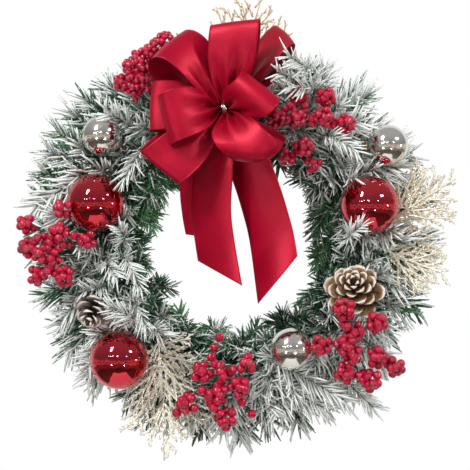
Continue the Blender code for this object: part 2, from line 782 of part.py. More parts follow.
def main():
    steel = material("steel_wire", (0.10, 0.14, 0.11), 0.5, 0.6)
    pine = material("flocked_pine", (0.42, 0.52, 0.46), 0.85)
    red_gloss = material("red_lacquer", (0.62, 0.01, 0.03), 0.12, 0.4)
    silver_gloss = material("silver_lacquer", (0.80, 0.79, 0.76), 0.08, 1.0)
    cap_metal = material("cap_metal", (0.75, 0.74, 0.70), 0.3, 1.0)
    berry_red = material("berry_red", (0.60, 0.01, 0.04), 0.2)
    cone_brown = material("cone_brown", (0.30, 0.20, 0.12), 0.8)
    cedar_gold = material("cedar_gold", (0.72, 0.62, 0.45), 0.5)
    satin = material("red_satin", (0.60, 0.01, 0.05), 0.35)

    ring = build_ring(steel)
    placed = []
    for name, (centre, radius, degrees) in BAUBLES.items():
        ball = red_gloss if name.startswith("red") else silver_gloss
        placed.extend(build_bauble(name, centre, radius, degrees, ball, cap_metal))
    for name, values in CONES.items():
        placed.extend(build_cone(name, *values, cone_brown, steel))
    for name, (degrees, bunches) in PICKS.items():
        placed.append(build_pick(name, degrees, bunches, berry_red))
    placed.extend(build_bow(satin, cap_metal))
    for name, values in CEDARS.items():
        placed.append(build_cedar(name, *values, cedar_gold, surroundings([ring, *placed])))

    balls = obstacles()
    placed.append(ring)
    for branch in range(BRANCHES):
        placed.append(build_branch(branch, balls, placed, pine))


main()
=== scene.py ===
"""Flocked pine wreath with a satin bow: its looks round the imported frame, in the order a maker puts it together."""

import math
import random

import bpy
import numpy as np
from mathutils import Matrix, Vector
from mathutils.bvhtree import BVHTree


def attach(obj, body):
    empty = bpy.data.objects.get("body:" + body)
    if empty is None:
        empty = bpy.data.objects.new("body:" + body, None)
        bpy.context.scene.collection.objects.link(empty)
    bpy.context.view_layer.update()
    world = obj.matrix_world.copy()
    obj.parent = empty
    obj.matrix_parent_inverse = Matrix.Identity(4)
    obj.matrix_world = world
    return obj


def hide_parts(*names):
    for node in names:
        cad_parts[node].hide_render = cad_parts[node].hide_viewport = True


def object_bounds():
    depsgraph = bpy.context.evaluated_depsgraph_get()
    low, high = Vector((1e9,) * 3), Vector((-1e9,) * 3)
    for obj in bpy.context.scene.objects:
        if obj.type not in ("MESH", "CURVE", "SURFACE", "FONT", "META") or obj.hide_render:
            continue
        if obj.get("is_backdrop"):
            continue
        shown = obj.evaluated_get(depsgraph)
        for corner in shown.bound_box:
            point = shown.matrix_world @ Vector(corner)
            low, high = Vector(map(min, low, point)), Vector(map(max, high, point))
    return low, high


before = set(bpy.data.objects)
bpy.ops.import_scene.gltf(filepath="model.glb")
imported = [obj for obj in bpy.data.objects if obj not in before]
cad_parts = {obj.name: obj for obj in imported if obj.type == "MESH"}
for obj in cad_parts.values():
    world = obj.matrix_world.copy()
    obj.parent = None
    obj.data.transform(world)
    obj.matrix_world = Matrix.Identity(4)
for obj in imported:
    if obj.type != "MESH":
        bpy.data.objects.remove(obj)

cad_low, cad_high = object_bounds()

# The ring: a hoop of 4 mm steel wire, butt welded and dipped in dark green lacquer. Everything else is wound
# on it. It shows from behind, and in slits between the branches.
MM = 0.001
RING_RADIUS, RING_WIRE = 130.0, 2.0
WELD_WIDTH, WELD_SWELLING = 0.02, 0.18
CENTRE = np.array([0.0, 0.0, RING_WIRE - RING_RADIUS])
FRONT = np.array([0, -1.0, 0])


def linear(code):
    """An sRGB hex colour as linear red, green, blue and alpha."""
    share = np.array([int(code[i : i + 2], 16) for i in (1, 3, 5)]) / 255
    return (*np.where(share <= 0.04045, share / 12.92, ((share + 0.055) / 1.055) ** 2.4).tolist(), 1.0)


def feed(node, inputs):
    """Sets a node's inputs. One that is given another node's output is linked to it."""
    for name, value in inputs.items():
        if isinstance(value, bpy.types.NodeSocket):
            node.id_data.links.new(value, node.inputs[name])
        else:
            node.inputs[name].default_value = value


def add(tree, kind, inputs=None, out=0, stops=(), **settings):
    """Adds a shader node with its settings, inputs and, on a ramp, stops of place and colour. Gives one output."""
    made = tree.nodes.new("ShaderNode" + kind)
    for name, value in settings.items():
        setattr(made, name, value)
    for _ in stops[2:]:
        made.color_ramp.elements.new(0.5)
    for number, (place, colour) in enumerate(stops):
        element = made.color_ramp.elements[number]
        element.position, element.color = place, linear(colour)
    feed(made, inputs or {})
    return made.outputs[out]


def coating(name, inputs):
    """A material with the inputs of its Principled shader set."""
    made = bpy.data.materials.new(name)
    made.use_nodes = True
    shader = made.node_tree.nodes["Principled BSDF"]
    feed(shader, inputs)
    return made, made.node_tree, shader


def grid(rows, columns, rows_closed=False, columns_closed=False):
    """The faces of a grid of points, four point numbers each. A closed direction joins its last line to its first."""
    i = np.arange(rows if rows_closed else rows - 1)[:, None]
    j = np.arange(columns if columns_closed else columns - 1)[None, :]
    down, right = (i + 1) % rows, (j + 1) % columns
    corners = [i * columns + j, down * columns + j, down * columns + right, i * columns + right]
    return np.stack(corners, -1).reshape(-1, 4)


def shells(rows, columns, count=1, way=1):
    """The faces of count closed shapes, each rows of points round an axis: walls, and first and last rows.

    way is 1 where the points go anticlockwise, seen the way the rows follow each other, and -1 where they go
    clockwise.
    """
    first = np.arange(columns)[None]
    shape = grid(rows, columns, columns_closed=True), first, first[:, ::-1] + (rows - 1) * columns
    shift = (np.arange(count) * rows * columns)[:, None, None]
    walls, *ends = ((faces[None, :, ::way] + shift).reshape(-1, faces.shape[1]) for faces in shape)
    return [walls, np.concatenate(ends)]


def piece(name, parts, values=None, uv=None):
    """Joins parts into one mesh. A part is its material, its points in mm, and its faces in one list for each
    number of corners.

    values are numbers to keep on the points under a name: for each part an array, or one for all its points.
    uv is each point's place on the pattern.
    """
    materials = list(dict.fromkeys(material for material, _, _ in parts))
    faces, finish, count = [], [], 0
    for material, points, lists in parts:
        faces += [rows + count for rows in lists]
        finish += [np.full(len(rows), materials.index(material)) for rows in lists]
        count += len(points)
    corners = np.concatenate([rows.ravel() for rows in faces]).astype(np.int32)
    sizes = np.concatenate([np.full(len(rows), rows.shape[1]) for rows in faces])
    mesh = bpy.data.meshes.new(name)
    mesh.vertices.add(count)
    points = np.concatenate([points for _, points, _ in parts]) * MM
    mesh.vertices.foreach_set("co", points.ravel().astype(np.float32))
    mesh.loops.add(len(corners))
    mesh.loops.foreach_set("vertex_index", corners)
    mesh.polygons.add(len(sizes))
    mesh.polygons.foreach_set("loop_start", (np.cumsum(sizes) - sizes).astype(np.int32))
    mesh.polygons.foreach_set("material_index", np.concatenate(finish).astype(np.int32))
    mesh.update(calc_edges=True)
    mesh.polygons.foreach_set("use_smooth", np.full(len(sizes), True))
    for label, levels in (values or {}).items():
        row = np.concatenate([np.broadcast_to(level, len(part[1])) for level, part in zip(levels, parts)])
        mesh.attributes.new(label, "FLOAT", "POINT").data.foreach_set("value", row.astype(np.float32))
    if uv is not None:
        layer = mesh.uv_layers.new(name="pattern")
        layer.data.foreach_set("uv", uv.reshape(-1, 2)[corners].ravel().astype(np.float32))
    for material in materials:
        mesh.materials.append(material)
    made = bpy.data.objects.new(name, mesh)
    bpy.context.scene.collection.objects.link(made)
    return made


def unit(rows):
    """Each row of vectors made one long."""
    return rows / np.maximum(np.linalg.norm(rows, axis=-1, keepdims=True), 1e-9)


def angles(count):
    """Even steps once round a circle."""
    return np.arange(count) * math.tau / count


def around(turn, side, up):
    """The directions at these angles, from side towards up."""
    return np.cos(turn) * side + np.sin(turn) * up


def tubes(paths, radii, sides):
    """Round stems: a circle carried along each path, square to it. paths is (n, k, 3) and radii (n, k)."""
    count, steps, _ = paths.shape
    ahead = unit(np.gradient(paths, axis=1))
    still = np.eye(3)[np.argmin(np.abs(ahead).mean(axis=1), axis=-1)][:, None, :]
    side = unit(np.cross(ahead, still))[:, :, None]
    up = np.cross(side, ahead[:, :, None])
    points = paths[:, :, None] + radii[:, :, None, None] * around(angles(sides)[:, None], side, up)
    return points.reshape(-1, 3), shells(steps, sides, count)


def ring_frame(degrees):
    """Outwards and along the ring, at an angle from +X towards +Z."""
    a = math.radians(degrees)
    return np.array([math.cos(a), 0, math.sin(a)]), np.array([-math.sin(a), 0, math.cos(a)])


def ring_surface():
    """A torus: a circle of the wire's radius carried round the ring, with the weld's slight swelling at the foot."""
    turn, about = angles(180)[:, None], angles(12)[None, :]
    weld = 1 + WELD_SWELLING * np.exp(-(((turn - 1.5 * math.pi) / WELD_WIDTH) ** 2))
    reach = RING_RADIUS + RING_WIRE * weld * np.cos(about)
    depth = RING_WIRE * weld * np.sin(about)
    points = np.stack([reach * np.cos(turn), depth, reach * np.sin(turn)], -1)
    return points.reshape(-1, 3) + CENTRE, [grid(180, 12, True, True)[:, ::-1]]


lacquer, tree, shader = coating("green_dipped_steel", {"Roughness": 0.38})
spots = add(tree, "TexNoise", {"Scale": 90.0, "Detail": 3.0, "Vector": add(tree, "TexCoord", out="Object")})
shade = add(tree, "ValToRGB", {"Fac": spots}, stops=((0, "#1a2c20"), (1, "#35503c")))
bumps = add(tree, "Bump", {"Height": spots, "Strength": 0.25, "Distance": 0.0004})
feed(shader, {"Base Color": shade, "Normal": bumps})

ring = piece("ring", [(lacquer, *ring_surface())])
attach(ring, "root")
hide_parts("ring_wire")


# Branches: each is a pair of wires twisted over strips of green PVC film that is cut into needles. The wire is
# wound round the ring, the sprigs are bent out, and white flock is blown on, mostly from the front.
BRANCHES = 15
STRAIGHT_RADIUS = RING_RADIUS * math.cos(math.pi / 30)
STEM_POINTS = 13
# out of the ring's centre, towards the viewer, along the ring, stem length, needle length, share of flock
SPRIGS = {
    "inner": (-0.80, 0.45, 0.30, 34, 21, 0.42),
    "front": (0.10, 0.85, -0.60, 52, 26, 0.70),
    "face": (0.62, 0.60, 0.50, 72, 28, 0.74),
    "outer": (0.97, 0.12, 0.24, 76, 29, 0.70),
    "back": (0.80, -0.06, -0.60, 78, 29, 0.42),
    "rim": (0.90, 0.32, -0.28, 74, 28, 0.80),
    "low": (0.60, 0.30, -0.80, 58, 26, 0.62),
    "high": (0.40, 0.78, 0.70, 46, 24, 0.74),
    "nook": (-0.45, 0.62, -0.65, 36, 21, 0.46),
    "under": (0.60, 0.05, 0.90, 58, 27, 0.22),
    "brim": (-0.72, 0.18, -0.75, 36, 21, 0.16),
    "edge": (-0.55, 0.66, 0.90, 36, 22, 0.50),
    "fan": (0.92, 0.05, 0.80, 74, 28, 0.56),
    "sweep": (0.95, 0.20, -0.85, 74, 28, 0.68),
    "tip": (1.00, -0.10, 0.05, 78, 27, 0.48),
    "crest": (0.72, 0.52, -0.15, 66, 27, 0.80),
    "plume": (0.70, 0.48, 1.00, 68, 27, 0.68),
    "drift": (0.66, 0.62, -1.00, 62, 26, 0.70),
    "brow": (0.45, 0.85, 0.05, 56, 25, 0.80),
    "cuff": (-0.30, 0.85, 0.25, 40, 22, 0.68),
    "bank": (-0.05, 0.70, -1.00, 50, 24, 0.58),
    "ledge": (0.02, 0.55, 1.00, 50, 24, 0.54),
    "lining": (-0.92, 0.08, 0.70, 55, 17, 0.10),
    "hem": (-0.90, 0.24, -0.50, 55, 17, 0.22),
    "inlay": (-0.82, 0.02, -1.00, 60, 17, 0.10),
    "seat": (-0.80, 0.34, 1.00, 58, 17, 0.28),
}
SWINGS = (0.0, 0.3, -0.3, 0.6, -0.6)
# outward stems get shorter towards the lower right: the angle, and the largest share
SHORT_SIDE, SHORTENED = 305, 0.20
# centre, radius, and the angle on the ring that the wire goes to
BAUBLES = {
    "red_left": ((-142, -48, 41), 30, 162),
    "red_right": ((137, -48, 39), 30, 22),
    "red_low": ((-118, -48, -119), 30, 230),
    "silver_left": ((-136, -45, 110), 21, 138),
    "silver_right": ((156, -45, 100), 21, 41),
    "silver_low": ((57, -60, -107), 21.5, 304),
}
# base, direction, length and radius
CONES = {
    "right": ((124, -36, -54), (-0.12, -0.89, 0.42), 46, 31),
    "left": ((-142, -40, -64), (-0.22, -0.80, -0.55), 36, 20),
}
# the stem's angle on the ring, and the bunches' middles
PICKS = {
    "top_left": (114, ((-73, -54, 206), (-94, -56, 184), (-113, -56, 163), (-88, -62, 160))),
    "top_right": (63, ((66, -64, 150), (96, -60, 145), (112, -62, 120), (80, -68, 121), (56, -64, 96))),
    "left": (186, ((-206, -50, 16), (-174, -62, 4), (-199, -54, -18), (-172, -60, -33), (-184, -56, 33))),
    "bottom": (260, ((-20, -58, -108), (8, -62, -130), (-30, -62, -140), (-48, -60, -165), (-8, -62, -176))),
    "right": (324, ((97, -76, -84), (146, -64, -86), (122, -64, -106), (158, -58, -122), (118, -62, -138))),
}
# the bow's knot, from the ring's centre
KNOT = np.array([-11.0, -74.0, 137.0])
# the fold's two corners, how far apart the two layers stand, which side of the knot, splay and belly
LOOPS = {
    "up_left": ((-53, -72, 212), (-82, -96, 183), 17, -1, -5, 0.02),
    "up": ((-24, -94, 216), (24.6, -102, 221), 12, 1, 0, 0.01),
    "up_right": ((43, -48, 221), (59, -86, 199), 6, 1, 0, 0.02),
    "left": ((-82, -84, 161), (-84, -90, 112), 9, -1, 0, 0.02),
    "left_front": ((-75, -112, 147), (-61, -108, 96), 14, -1, -3, 0.01),
    "low_left": ((-93, -92, 90), (-57, -92, 60), 8, -1, 3, 0.01),
    "right": ((5, -106, 168), (43, -118, 137), 13, 1, 4, 0.02),
    "low_right": ((-1, -100, 83), (43, -112, 101), 17, 1, -6, 0.24),
}
# where each cedar spray begins, where it points, its length, where its wire meets the ring, and side stems of its own
CEDARS = {
    "top": ((2, -26, 150), (0.20, -0.22, 1.0), 108, 86, ()),
    "right_high": ((150, -16, 16), (0.80, -0.36, 0.56), 92, 13, ()),
    "right_low": ((152, -24, -6), (0.91, -0.30, -0.40), 71, 354, ()),
    "bottom": ((-80, -16, -98), (0.12, -0.32, -1.0), 120, 239, ((0.06, -86, 0.28), (0.16, -66, 0.36))),
}
# sprigs that were bent over in front of a decoration, and some that fill out the hole's edge and the upper left:
# branch, where they begin and end, needle length, flock
STRAYS = (
    (7, (-94, -62, 96), (-112, -82, 62), 21, 0.40),
    (9, (-98, -56, -78), (-126, -66, -64), 20, 0.62),
    (8, (-110, -56, 2), (-116, -80, 16), 19, 0.66),
    (0, (112, -60, 4), (126, -82, 18), 18, 0.60),
    (2, (92, -60, 114), (122, -74, 92), 20, 0.62),
    (3, (80, -60, 172), (51, -97, 187), 25, 0.92),
    (3, (68, -56, 162), (42, -92, 170), 22, 0.92),
    (2, (86, -58, 158), (52, -84, 156), 22, 0.66),
    (12, (41, -42, -120), (112, -50, -160), 27, 0.78),
    (12, (34, -36, -140), (90, -40, -168), 25, 0.80),
    (13, (110, -32, -138), (142, -32, -169), 21, 0.50),
    (7, (-138, -40, 80), (-205, -36, 38), 28, 0.44),
    (8, (-112, -60, -12), (-94, -82, -44), 20, 0.62),
    (8, (-132, -60, -16), (-118, -82, -34), 19, 0.58),
    (9, (-100, -60, -58), (-88, -82, -84), 20, 0.64),
    (9, (-88, -56, -84), (-58, -76, -100), 20, 0.56),
    (0, (94, -12, 36), (84, -18, 6), 17, 0.16),
    (14, (95, -8, 8), (84, -16, -20), 17, 0.14),
    (13, (88, -14, -44), (70, -20, -60), 17, 0.16),
    (5, (-108, -10, 106), (-156, -24, 150), 26, 0.26),
    (6, (-118, -8, 96), (-170, -24, 136), 27, 0.22),
    (6, (-128, -8, 80), (-184, -26, 116), 27, 0.18),
    (6, (-134, -8, 66), (-194, -24, 96), 27, 0.22),
    (7, (-140, -8, 50), (-200, -22, 74), 27, 0.16),
    (7, (-144, -8, 34), (-204, -22, 50), 27, 0.18),
)


def at(place):
    """A place in mm from the ring's centre, in the object's own frame."""
    return CENTRE + np.array(place, float)


def branch_angle(branch):
    """Where a branch is wound on the ring, in degrees."""
    return (branch + 0.25) * 360 / BRANCHES


def stood_in_the_way():
    """Balls that stand for the decorations, so that stems bend round them: centres and radii."""
    found = [(at(centre), radius) for centre, radius, _ in BAUBLES.values()]
    for base, pointing, length, radius in CONES.values():
        found.append((at(base) + unit(np.array(pointing)) * length * 0.35, radius))
    found += [(at(bunch), 11) for _, bunches in PICKS.values() for bunch in bunches]
    for start, end, *_ in LOOPS.values():
        fold = (at(start) + at(end)) / 2
        for share in (0.25, 0.5, 0.75, 1.0):
            found.append((at(KNOT) + (fold - at(KNOT)) * share, 10 + 15 * share))
    return found


def smoothed(line, rounds):
    """A line whose inner points are drawn halfway to the middle of their neighbours, so many times."""
    for _ in range(rounds):
        line[1:-1] = line[1:-1] * 0.5 + (line[:-2] + line[2:]) * 0.25
    return line


def sprig_line(branch, kind, swing):
    """A stem's line: root + direction * length * s + bend * length * s squared, pushed out of the decorations."""
    draw = random.Random(f"{branch} {kind}")
    outwards, forwards, along, length, _, _ = SPRIGS[kind]
    out, tangent = ring_frame(branch_angle(branch))
    hand = 1 if branch % 2 else -1
    aim = out * (outwards + draw.uniform(-0.08, 0.08)) + FRONT * (forwards + draw.uniform(-0.12, 0.08))
    aim = unit(aim + tangent * (along * hand + draw.uniform(-0.15, 0.15) + swing))
    length *= draw.uniform(0.90, 1.06)
    if outwards > 0.5:
        off = math.radians(branch_angle(branch) - SHORT_SIDE)
        length *= 1 - SHORTENED * (0.5 + 0.5 * math.cos(off)) ** 1.5
    bend = tangent * draw.uniform(-0.14, 0.14) + np.array([0, 0, -0.06]) + out * 0.05
    root = CENTRE + out * STRAIGHT_RADIUS + tangent * draw.uniform(-3, 3) + aim * 3.8
    s = np.linspace(0, 1, STEM_POINTS)[:, None]
    line = root + aim * length * s + bend * length * s**2
    for _ in range(2):
        for centre, radius in OBSTACLES:
            away = line - centre
            distance = np.linalg.norm(away, axis=1, keepdims=True)
            pushed = centre + away / distance * (radius + STEM_ROOM)
            line = np.where((distance < radius + STEM_ROOM) & (s > 0.1), pushed, line)
    return smoothed(line, 2)


def bent_over(start, end):
    """A stem bent over in front: from the ring behind its start, through the start, to its end, smoothed."""
    start, end = at(start), at(end)
    foot = CENTRE + unit((start - CENTRE) * (1, 0, 1)) * STRAIGHT_RADIUS
    return smoothed(np.concatenate([np.linspace(foot, start, 7), np.linspace(start, end, 9)[1:]]), 6)


def longest_line(branch, kind):
    """The sprig's line at the swing that lets it grow longest before it comes near a decoration."""
    best = []
    for swing in SWINGS:
        line = sprig_line(branch, kind, swing)
        for i in range(2, len(line)):
            if DECORATIONS.find_nearest(Vector(line[i] * MM), STEM_GAP * MM)[0] is not None:
                line = line[:i]
                break
        if len(line) > len(best):
            best = line
        if len(best) == STEM_POINTS:
            break
    return best


def even_steps(line, count):
    """Points and directions at even steps along a line."""
    steps = np.linalg.norm(np.diff(line, axis=0), axis=1)
    place = np.concatenate([[0], np.cumsum(steps)])
    wanted = np.linspace(0, place[-1], count)
    even = np.stack([np.interp(wanted, place, line[:, k]) for k in range(3)], -1)
    return even, unit(np.gradient(even, axis=0)), place[-1]


def needles_on(line, length, flock, draw, blown):
    """Where a sprig's needles stand: roots on its stem at even steps, most of them out to its two flat sides.

    The flock thins out from the front to the back, which also stands for painted shade deep among the sprigs, and grows
    by blown from the wreath's body to its rim.
    """
    count = int(even_steps(line, 2)[2] / NEEDLE_STEP / min(1, max(0.45, (length - 10) / 15)))
    path, ahead, _ = even_steps(line, count)
    side = unit(np.cross(ahead, FRONT + draw.uniform(-0.4, 0.4, 3)))
    up = np.cross(side, ahead)
    share = np.linspace(0, 1, count)[:, None]
    hand = np.where(np.arange(count) % 2, 1.0, -1.0)[:, None]
    loose = draw.uniform(0, 1, (count, 1)) < LOOSE_SHARE
    tilt = np.where(loose, draw.uniform(-1.5, 1.5, (count, 1)), draw.normal(0.12, 0.26, (count, 1)))
    away = hand * np.cos(tilt) * side + np.sin(tilt) * up
    lean = np.radians(NEEDLE_ANGLE + draw.normal(0, 8, (count, 1)) - 15 * share**6 + 14 * (1 - share) ** 3)
    aim = np.cos(lean) * ahead + np.sin(lean) * away
    across = np.cross(aim, up + side * 0.1) + up * draw.uniform(-0.4, 0.4, (count, 1))
    reach = length * draw.uniform(0.68, 1.06, (count, 1)) * (1 - 0.22 * share**5 - 0.25 * (1 - share) ** 6)
    snow = flock + draw.uniform(-0.12, 0.12) + draw.uniform(-0.42, 0.42, (count, 1)) + 0.14 * np.sin(tilt)
    deep = np.clip((path[:, 1:2] - FLOCK_FRONT) / (FLOCK_BACK - FLOCK_FRONT), 0, 1)
    from_centre = np.linalg.norm(path - CENTRE, axis=1, keepdims=True)
    far = np.clip((from_centre - RIM_INSIDE) / (RIM_OUTSIDE - RIM_INSIDE), 0, 1)
    return {
        "root": path + away * 0.4,
        "aim": aim,
        "across": unit(np.cross(aim, np.cross(across, aim))),
        "reach": reach,
        "wide": np.full((count, 1), min(1.08, max(0.62, length / 25))),
        "curl": ahead * 0.12 + np.array([0, 0, -0.04]) + draw.uniform(-0.10, 0.10, (count, 3)),
        # painted shade: less flock deeper in, so the back layers show dark green where shade falls between the sprigs
        "flock": np.clip(snow + 0.07 - LESS_BEHIND_AND_SHADED * deep + blown * far, 0.0, 1.1),
        "tint": np.clip(draw.uniform(0, 0.5) + draw.uniform(0, 0.4, (count, 1)) + max(0, 0.56 - 2.4 * flock), 0, 1),
    }


def spray_axes(pointing):
    """A flat spray's direction, the way across it, and the way it faces."""
    ahead = unit(np.array(pointing, float))
    facing = unit(FRONT - ahead * (FRONT @ ahead))
    return ahead, np.cross(ahead, facing), facing


def stem_fans():
    """Each cedar spray as a fan, and each of its own side stems as a narrow one: root, direction, length, spread."""
    fans = []
    for root, pointing, length, _, more in CEDARS.values():
        ahead, across, facing = spray_axes(pointing)
        fans.append((at(root), ahead, length * 0.92, 0.45 if root[2] > 100 else 0.70))
        for place, angle, share in more:
            a = math.radians(angle)
            aim = unit(ahead * math.cos(a) + across * math.sin(a) + facing * MORE_FORWARD)
            fans.append((at(root) + ahead * length * place, aim, length * share, 0.22))
    return fans


def before_sprays(points):
    """Which points lie in front of a cedar spray: inside its fan, seen from the front, and before its plane."""
    found = np.zeros(len(points), bool)
    for root, ahead, length, spread in stem_fans():
        away = points - root
        flat = unit(ahead * (1, 0, 1))
        along = away @ flat
        aside = np.abs(away @ np.array([-flat[2], 0, flat[0]]))
        inside = (along > SPRAY_START) & (along < length) & (aside < along * spread + SPRAY_ASIDE)
        found |= inside & (away[:, 1] < ahead[1] / math.hypot(ahead[0], ahead[2]) * along + SPRAY_BEHIND)
    return found


def in_the_bow(points):
    """Which points lie inside one of the bow's loops: between its layers, within its width."""
    found = np.zeros(len(points), bool)
    for start, end, thickness, *_ in LOOPS.values():
        wide, reach = unit(at(end) - at(start)), (at(start) + at(end)) / 2 - at(KNOT)
        away = points - at(KNOT)
        along = away @ reach / (reach @ reach)
        aside = np.abs((away - along[:, None] * reach) @ wide)
        deep = np.abs(away @ unit(np.cross(reach, wide)))
        filled = (along > BOW_FILLED[0]) & (along < BOW_FILLED[1])
        found |= filled & (aside < BOW_HALF) & (deep < thickness + BOW_ROOM)
    return found


def cut_to_room(needles):
    """Shortens the needles that would run into a decoration or out of the wreath's reach, and drops stubs."""
    root, aim, reach = needles["root"], needles["aim"], needles["reach"]
    low, high = np.array(cad_low) / MM - REACH_OVER, np.array(cad_high) / MM + REACH_OVER
    shares = np.where(aim > 0, (high - root) / np.maximum(aim, 1e-6), (low - root) / np.minimum(aim, -1e-6))
    reach = np.minimum(reach, np.maximum(shares.min(axis=1, keepdims=True), 0))
    for i in range(len(root)):
        far = (reach[i, 0] + NEEDLE_GAP) * MM
        hit = HARD_DECORATIONS.ray_cast(Vector(root[i] * MM), Vector(aim[i]), far)[3]
        if hit is not None:
            reach[i, 0] = min(reach[i, 0], hit / MM - NEEDLE_GAP)
    needles["reach"] = reach
    middle, end = root + aim * reach * 0.5, root + aim * reach
    kept = (reach[:, 0] > SHORTEST_NEEDLE) & ~before_sprays(middle) & ~in_the_bow(middle) & ~in_the_bow(end)
    return {name: rows[kept] for name, rows in needles.items()}


def blades(needles):
    """Needles: a folded strip carried along root + aim * reach * t + curl * reach * t squared.

    The section is two edges at +-half across and a ridge at the thickness over them. It narrows to a blunt tip.
    The sides that face the front get the most flock. Gives points and faces, and the flock and tint of the points.
    """
    t = np.array([0.0, 0.55, 1.0])[None, :, None]
    half = (NEEDLE_WIDTH / 2 * np.array([0.75, 1.0, 0.40]))[None, :, None] * needles["wide"][:, None]
    thick = (NEEDLE_THICK * np.array([1.0, 1.0, 0.6]))[None, :, None]
    root, aim, across, reach, curl = (needles[name][:, None] for name in ("root", "aim", "across", "reach", "curl"))
    line = root + aim * reach * t + curl * reach * t**2
    over = np.cross(across, aim)
    over = np.where(over[..., 1:2] > 0, -over, over)
    hand = np.sign(np.sum(np.cross(across, over) * aim, axis=-1, keepdims=True))
    points = np.stack([line + hand * across * half, line + over * thick, line - hand * across * half], axis=2)
    facing = np.concatenate([-hand * across[..., 1:2], over[..., 1:2] * -1.4, hand * across[..., 1:2]], axis=2)
    flock = needles["flock"][:, :, None] + 0.30 * facing + 0.16 * (t - 0.5)
    shape = points.shape[:3]
    flock, tint = (np.broadcast_to(rows, shape).ravel() for rows in (flock, needles["tint"][:, :, None]))
    return (points.reshape(-1, 3), shells(3, 3, len(points), -1)), flock, tint


def twisted_stems(lines, radius):
    """Stems of two wires twisted together: a section with two lobes that turns as it goes along."""
    steps, sides = 22, 8
    paths = np.stack([even_steps(line, steps)[0] for line in lines])
    points, faces = tubes(paths, np.full(paths.shape[:2], radius), sides)
    lobe = 0.80 + 0.28 * np.cos(2 * angles(sides)[None, None, :] - np.arange(steps)[None, :, None] * 1.3) ** 2
    shaped = points.reshape(len(lines), steps, sides, 3)
    shaped = paths[:, :, None] + (shaped - paths[:, :, None]) * lobe[..., None]
    return shaped.reshape(-1, 3), faces


def rod(path, radius, sides=8):
    """One round wire along a path."""
    return tubes(path[None], np.broadcast_to(radius, (1, len(path))), sides)


def wound_wire(degrees, turns, wire):
    """The turns that grip the ring: a helix of wire that lies on the ring's surface."""
    out, tangent = ring_frame(degrees)
    s = np.linspace(0, 1, 14 * turns + 1)[:, None]
    middle = CENTRE + out * STRAIGHT_RADIUS + tangent * (s - 0.5) * turns * wire * 2.05
    return rod(middle + (RING_WIRE + wire) * around(s * turns * math.tau, out, -FRONT), wire)


NEEDLE_STEP, NEEDLE_ANGLE = 1.62, 44
NEEDLE_WIDTH, NEEDLE_THICK = 2.7, 0.7
SHORTEST_NEEDLE, LOOSE_SHARE = 6, 0.30
# how far stems and needles keep from the decorations, and how far needles may pass the solids
STEM_ROOM, STEM_GAP, NEEDLE_GAP, REACH_OVER = 4, 2.2, 2.0, 3.0
TWIST_RADIUS, WOUND_TURNS, WOUND_RADIUS = 1.1, 4, 0.9
# the flock's front and back, how much less there is at the back, which also paints shade among the sprigs, and the
# wreath's rim, where there is more
FLOCK_FRONT, FLOCK_BACK, LESS_BEHIND_AND_SHADED = -36, 8, 0.58
RIM_INSIDE, RIM_OUTSIDE, MORE_AT_RIM = 172, 202, 0.38
BARE_STEM = 0.3
# a branch's own flock, more or less, by its angle on the ring. It also stands for painted shade and light by side: less
# on the upper left, more on the lower left
FLOCK_AND_SHADE_BY_ANGLE = (
    (0, 40, 90, 130, 150, 168, 186, 222, 250, 290, 320, 342, 360),
    (-0.08, 0.05, 0.02, -0.14, -0.28, -0.28, -0.04, 0.07, -0.04, 0.04, 0.04, -0.10, -0.08),
)
# how far forward the side stems lean that are a cedar spray's own
MORE_FORWARD = 0.45
# the part of a loop's length that is filled, its half width with room for a needle, and the room over its layers
BOW_FILLED, BOW_HALF, BOW_ROOM = (0.1, 1.08), 27, 3
# how far from its root a spray's fan begins, and how far it reaches past its edge and behind its plane
SPRAY_START, SPRAY_ASIDE, SPRAY_BEHIND = 4, 5, 3
# PVC film, cut and flocked: short white rayon fibre stuck on with glue, in clumps, over a dull green film.
pine, tree, shader = coating("flocked_pvc_film", {"Specular IOR Level": 0.35})
spot = add(tree, "TexCoord", out="Object")
tint = add(tree, "Attribute", out="Fac", attribute_name="tint")
hue = add(tree, "ValToRGB", {"Fac": tint}, stops=((0, "#12271b"), (0.5, "#2f5b3c"), (1, "#5f9668")))
clumps = add(tree, "TexNoise", {"Scale": 420.0, "Detail": 3.0, "Roughness": 0.6, "Vector": spot})
drift = add(tree, "TexNoise", {"Scale": 38.0, "Detail": 2.0, "Vector": spot})
level = add(tree, "Math", {0: add(tree, "Attribute", out="Fac", attribute_name="flock"), 1: clumps})
level = add(tree, "Math", {0: level, 1: drift})
cover = add(tree, "MapRange", {"Value": level, "From Min": 1.44, "From Max": 1.66})
fibre = add(tree, "ValToRGB", {"Fac": clumps}, stops=((0, "#cbd7d0"), (1, "#ffffff")))
skin = add(tree, "Mix", {0: cover, 6: hue, 7: fibre}, out=2, data_type="RGBA")
rough = add(tree, "MapRange", {"Value": cover, "To Min": 0.45, "To Max": 0.95})
fuzz = add(tree, "Bump", {"Height": clumps, "Strength": 0.6, "Distance": 0.0006})
feed(shader, {"Base Color": skin, "Roughness": rough, "Normal": fuzz})

twisted, tree, shader = coating("twisted_green_wire", {"Roughness": 0.5})
worn = add(tree, "TexNoise", {"Scale": 300.0, "Detail": 2.0, "Vector": add(tree, "TexCoord", out="Object")})
shade = add(tree, "ValToRGB", {"Fac": worn}, stops=((0.3, "#2b2a20"), (0.5, "#4d5a45"), (0.62, "#c4ccc6")))
feed(shader, {"Base Color": shade})


def surfaces(left_out):
    """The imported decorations' surfaces in one tree, to be asked for what lies near or ahead."""
    corners, sides = [], []
    for name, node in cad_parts.items():
        if not name.startswith(left_out):
            start = len(corners)
            corners.extend(vert.co.copy() for vert in node.data.vertices)
            sides.extend([start + i for i in face.vertices] for face in node.data.polygons)
    return BVHTree.FromPolygons(corners, sides)


OBSTACLES = stood_in_the_way()
DECORATIONS = surfaces(("branch", "ring"))
HARD_DECORATIONS = surfaces(("branch", "ring", "bow_loops"))

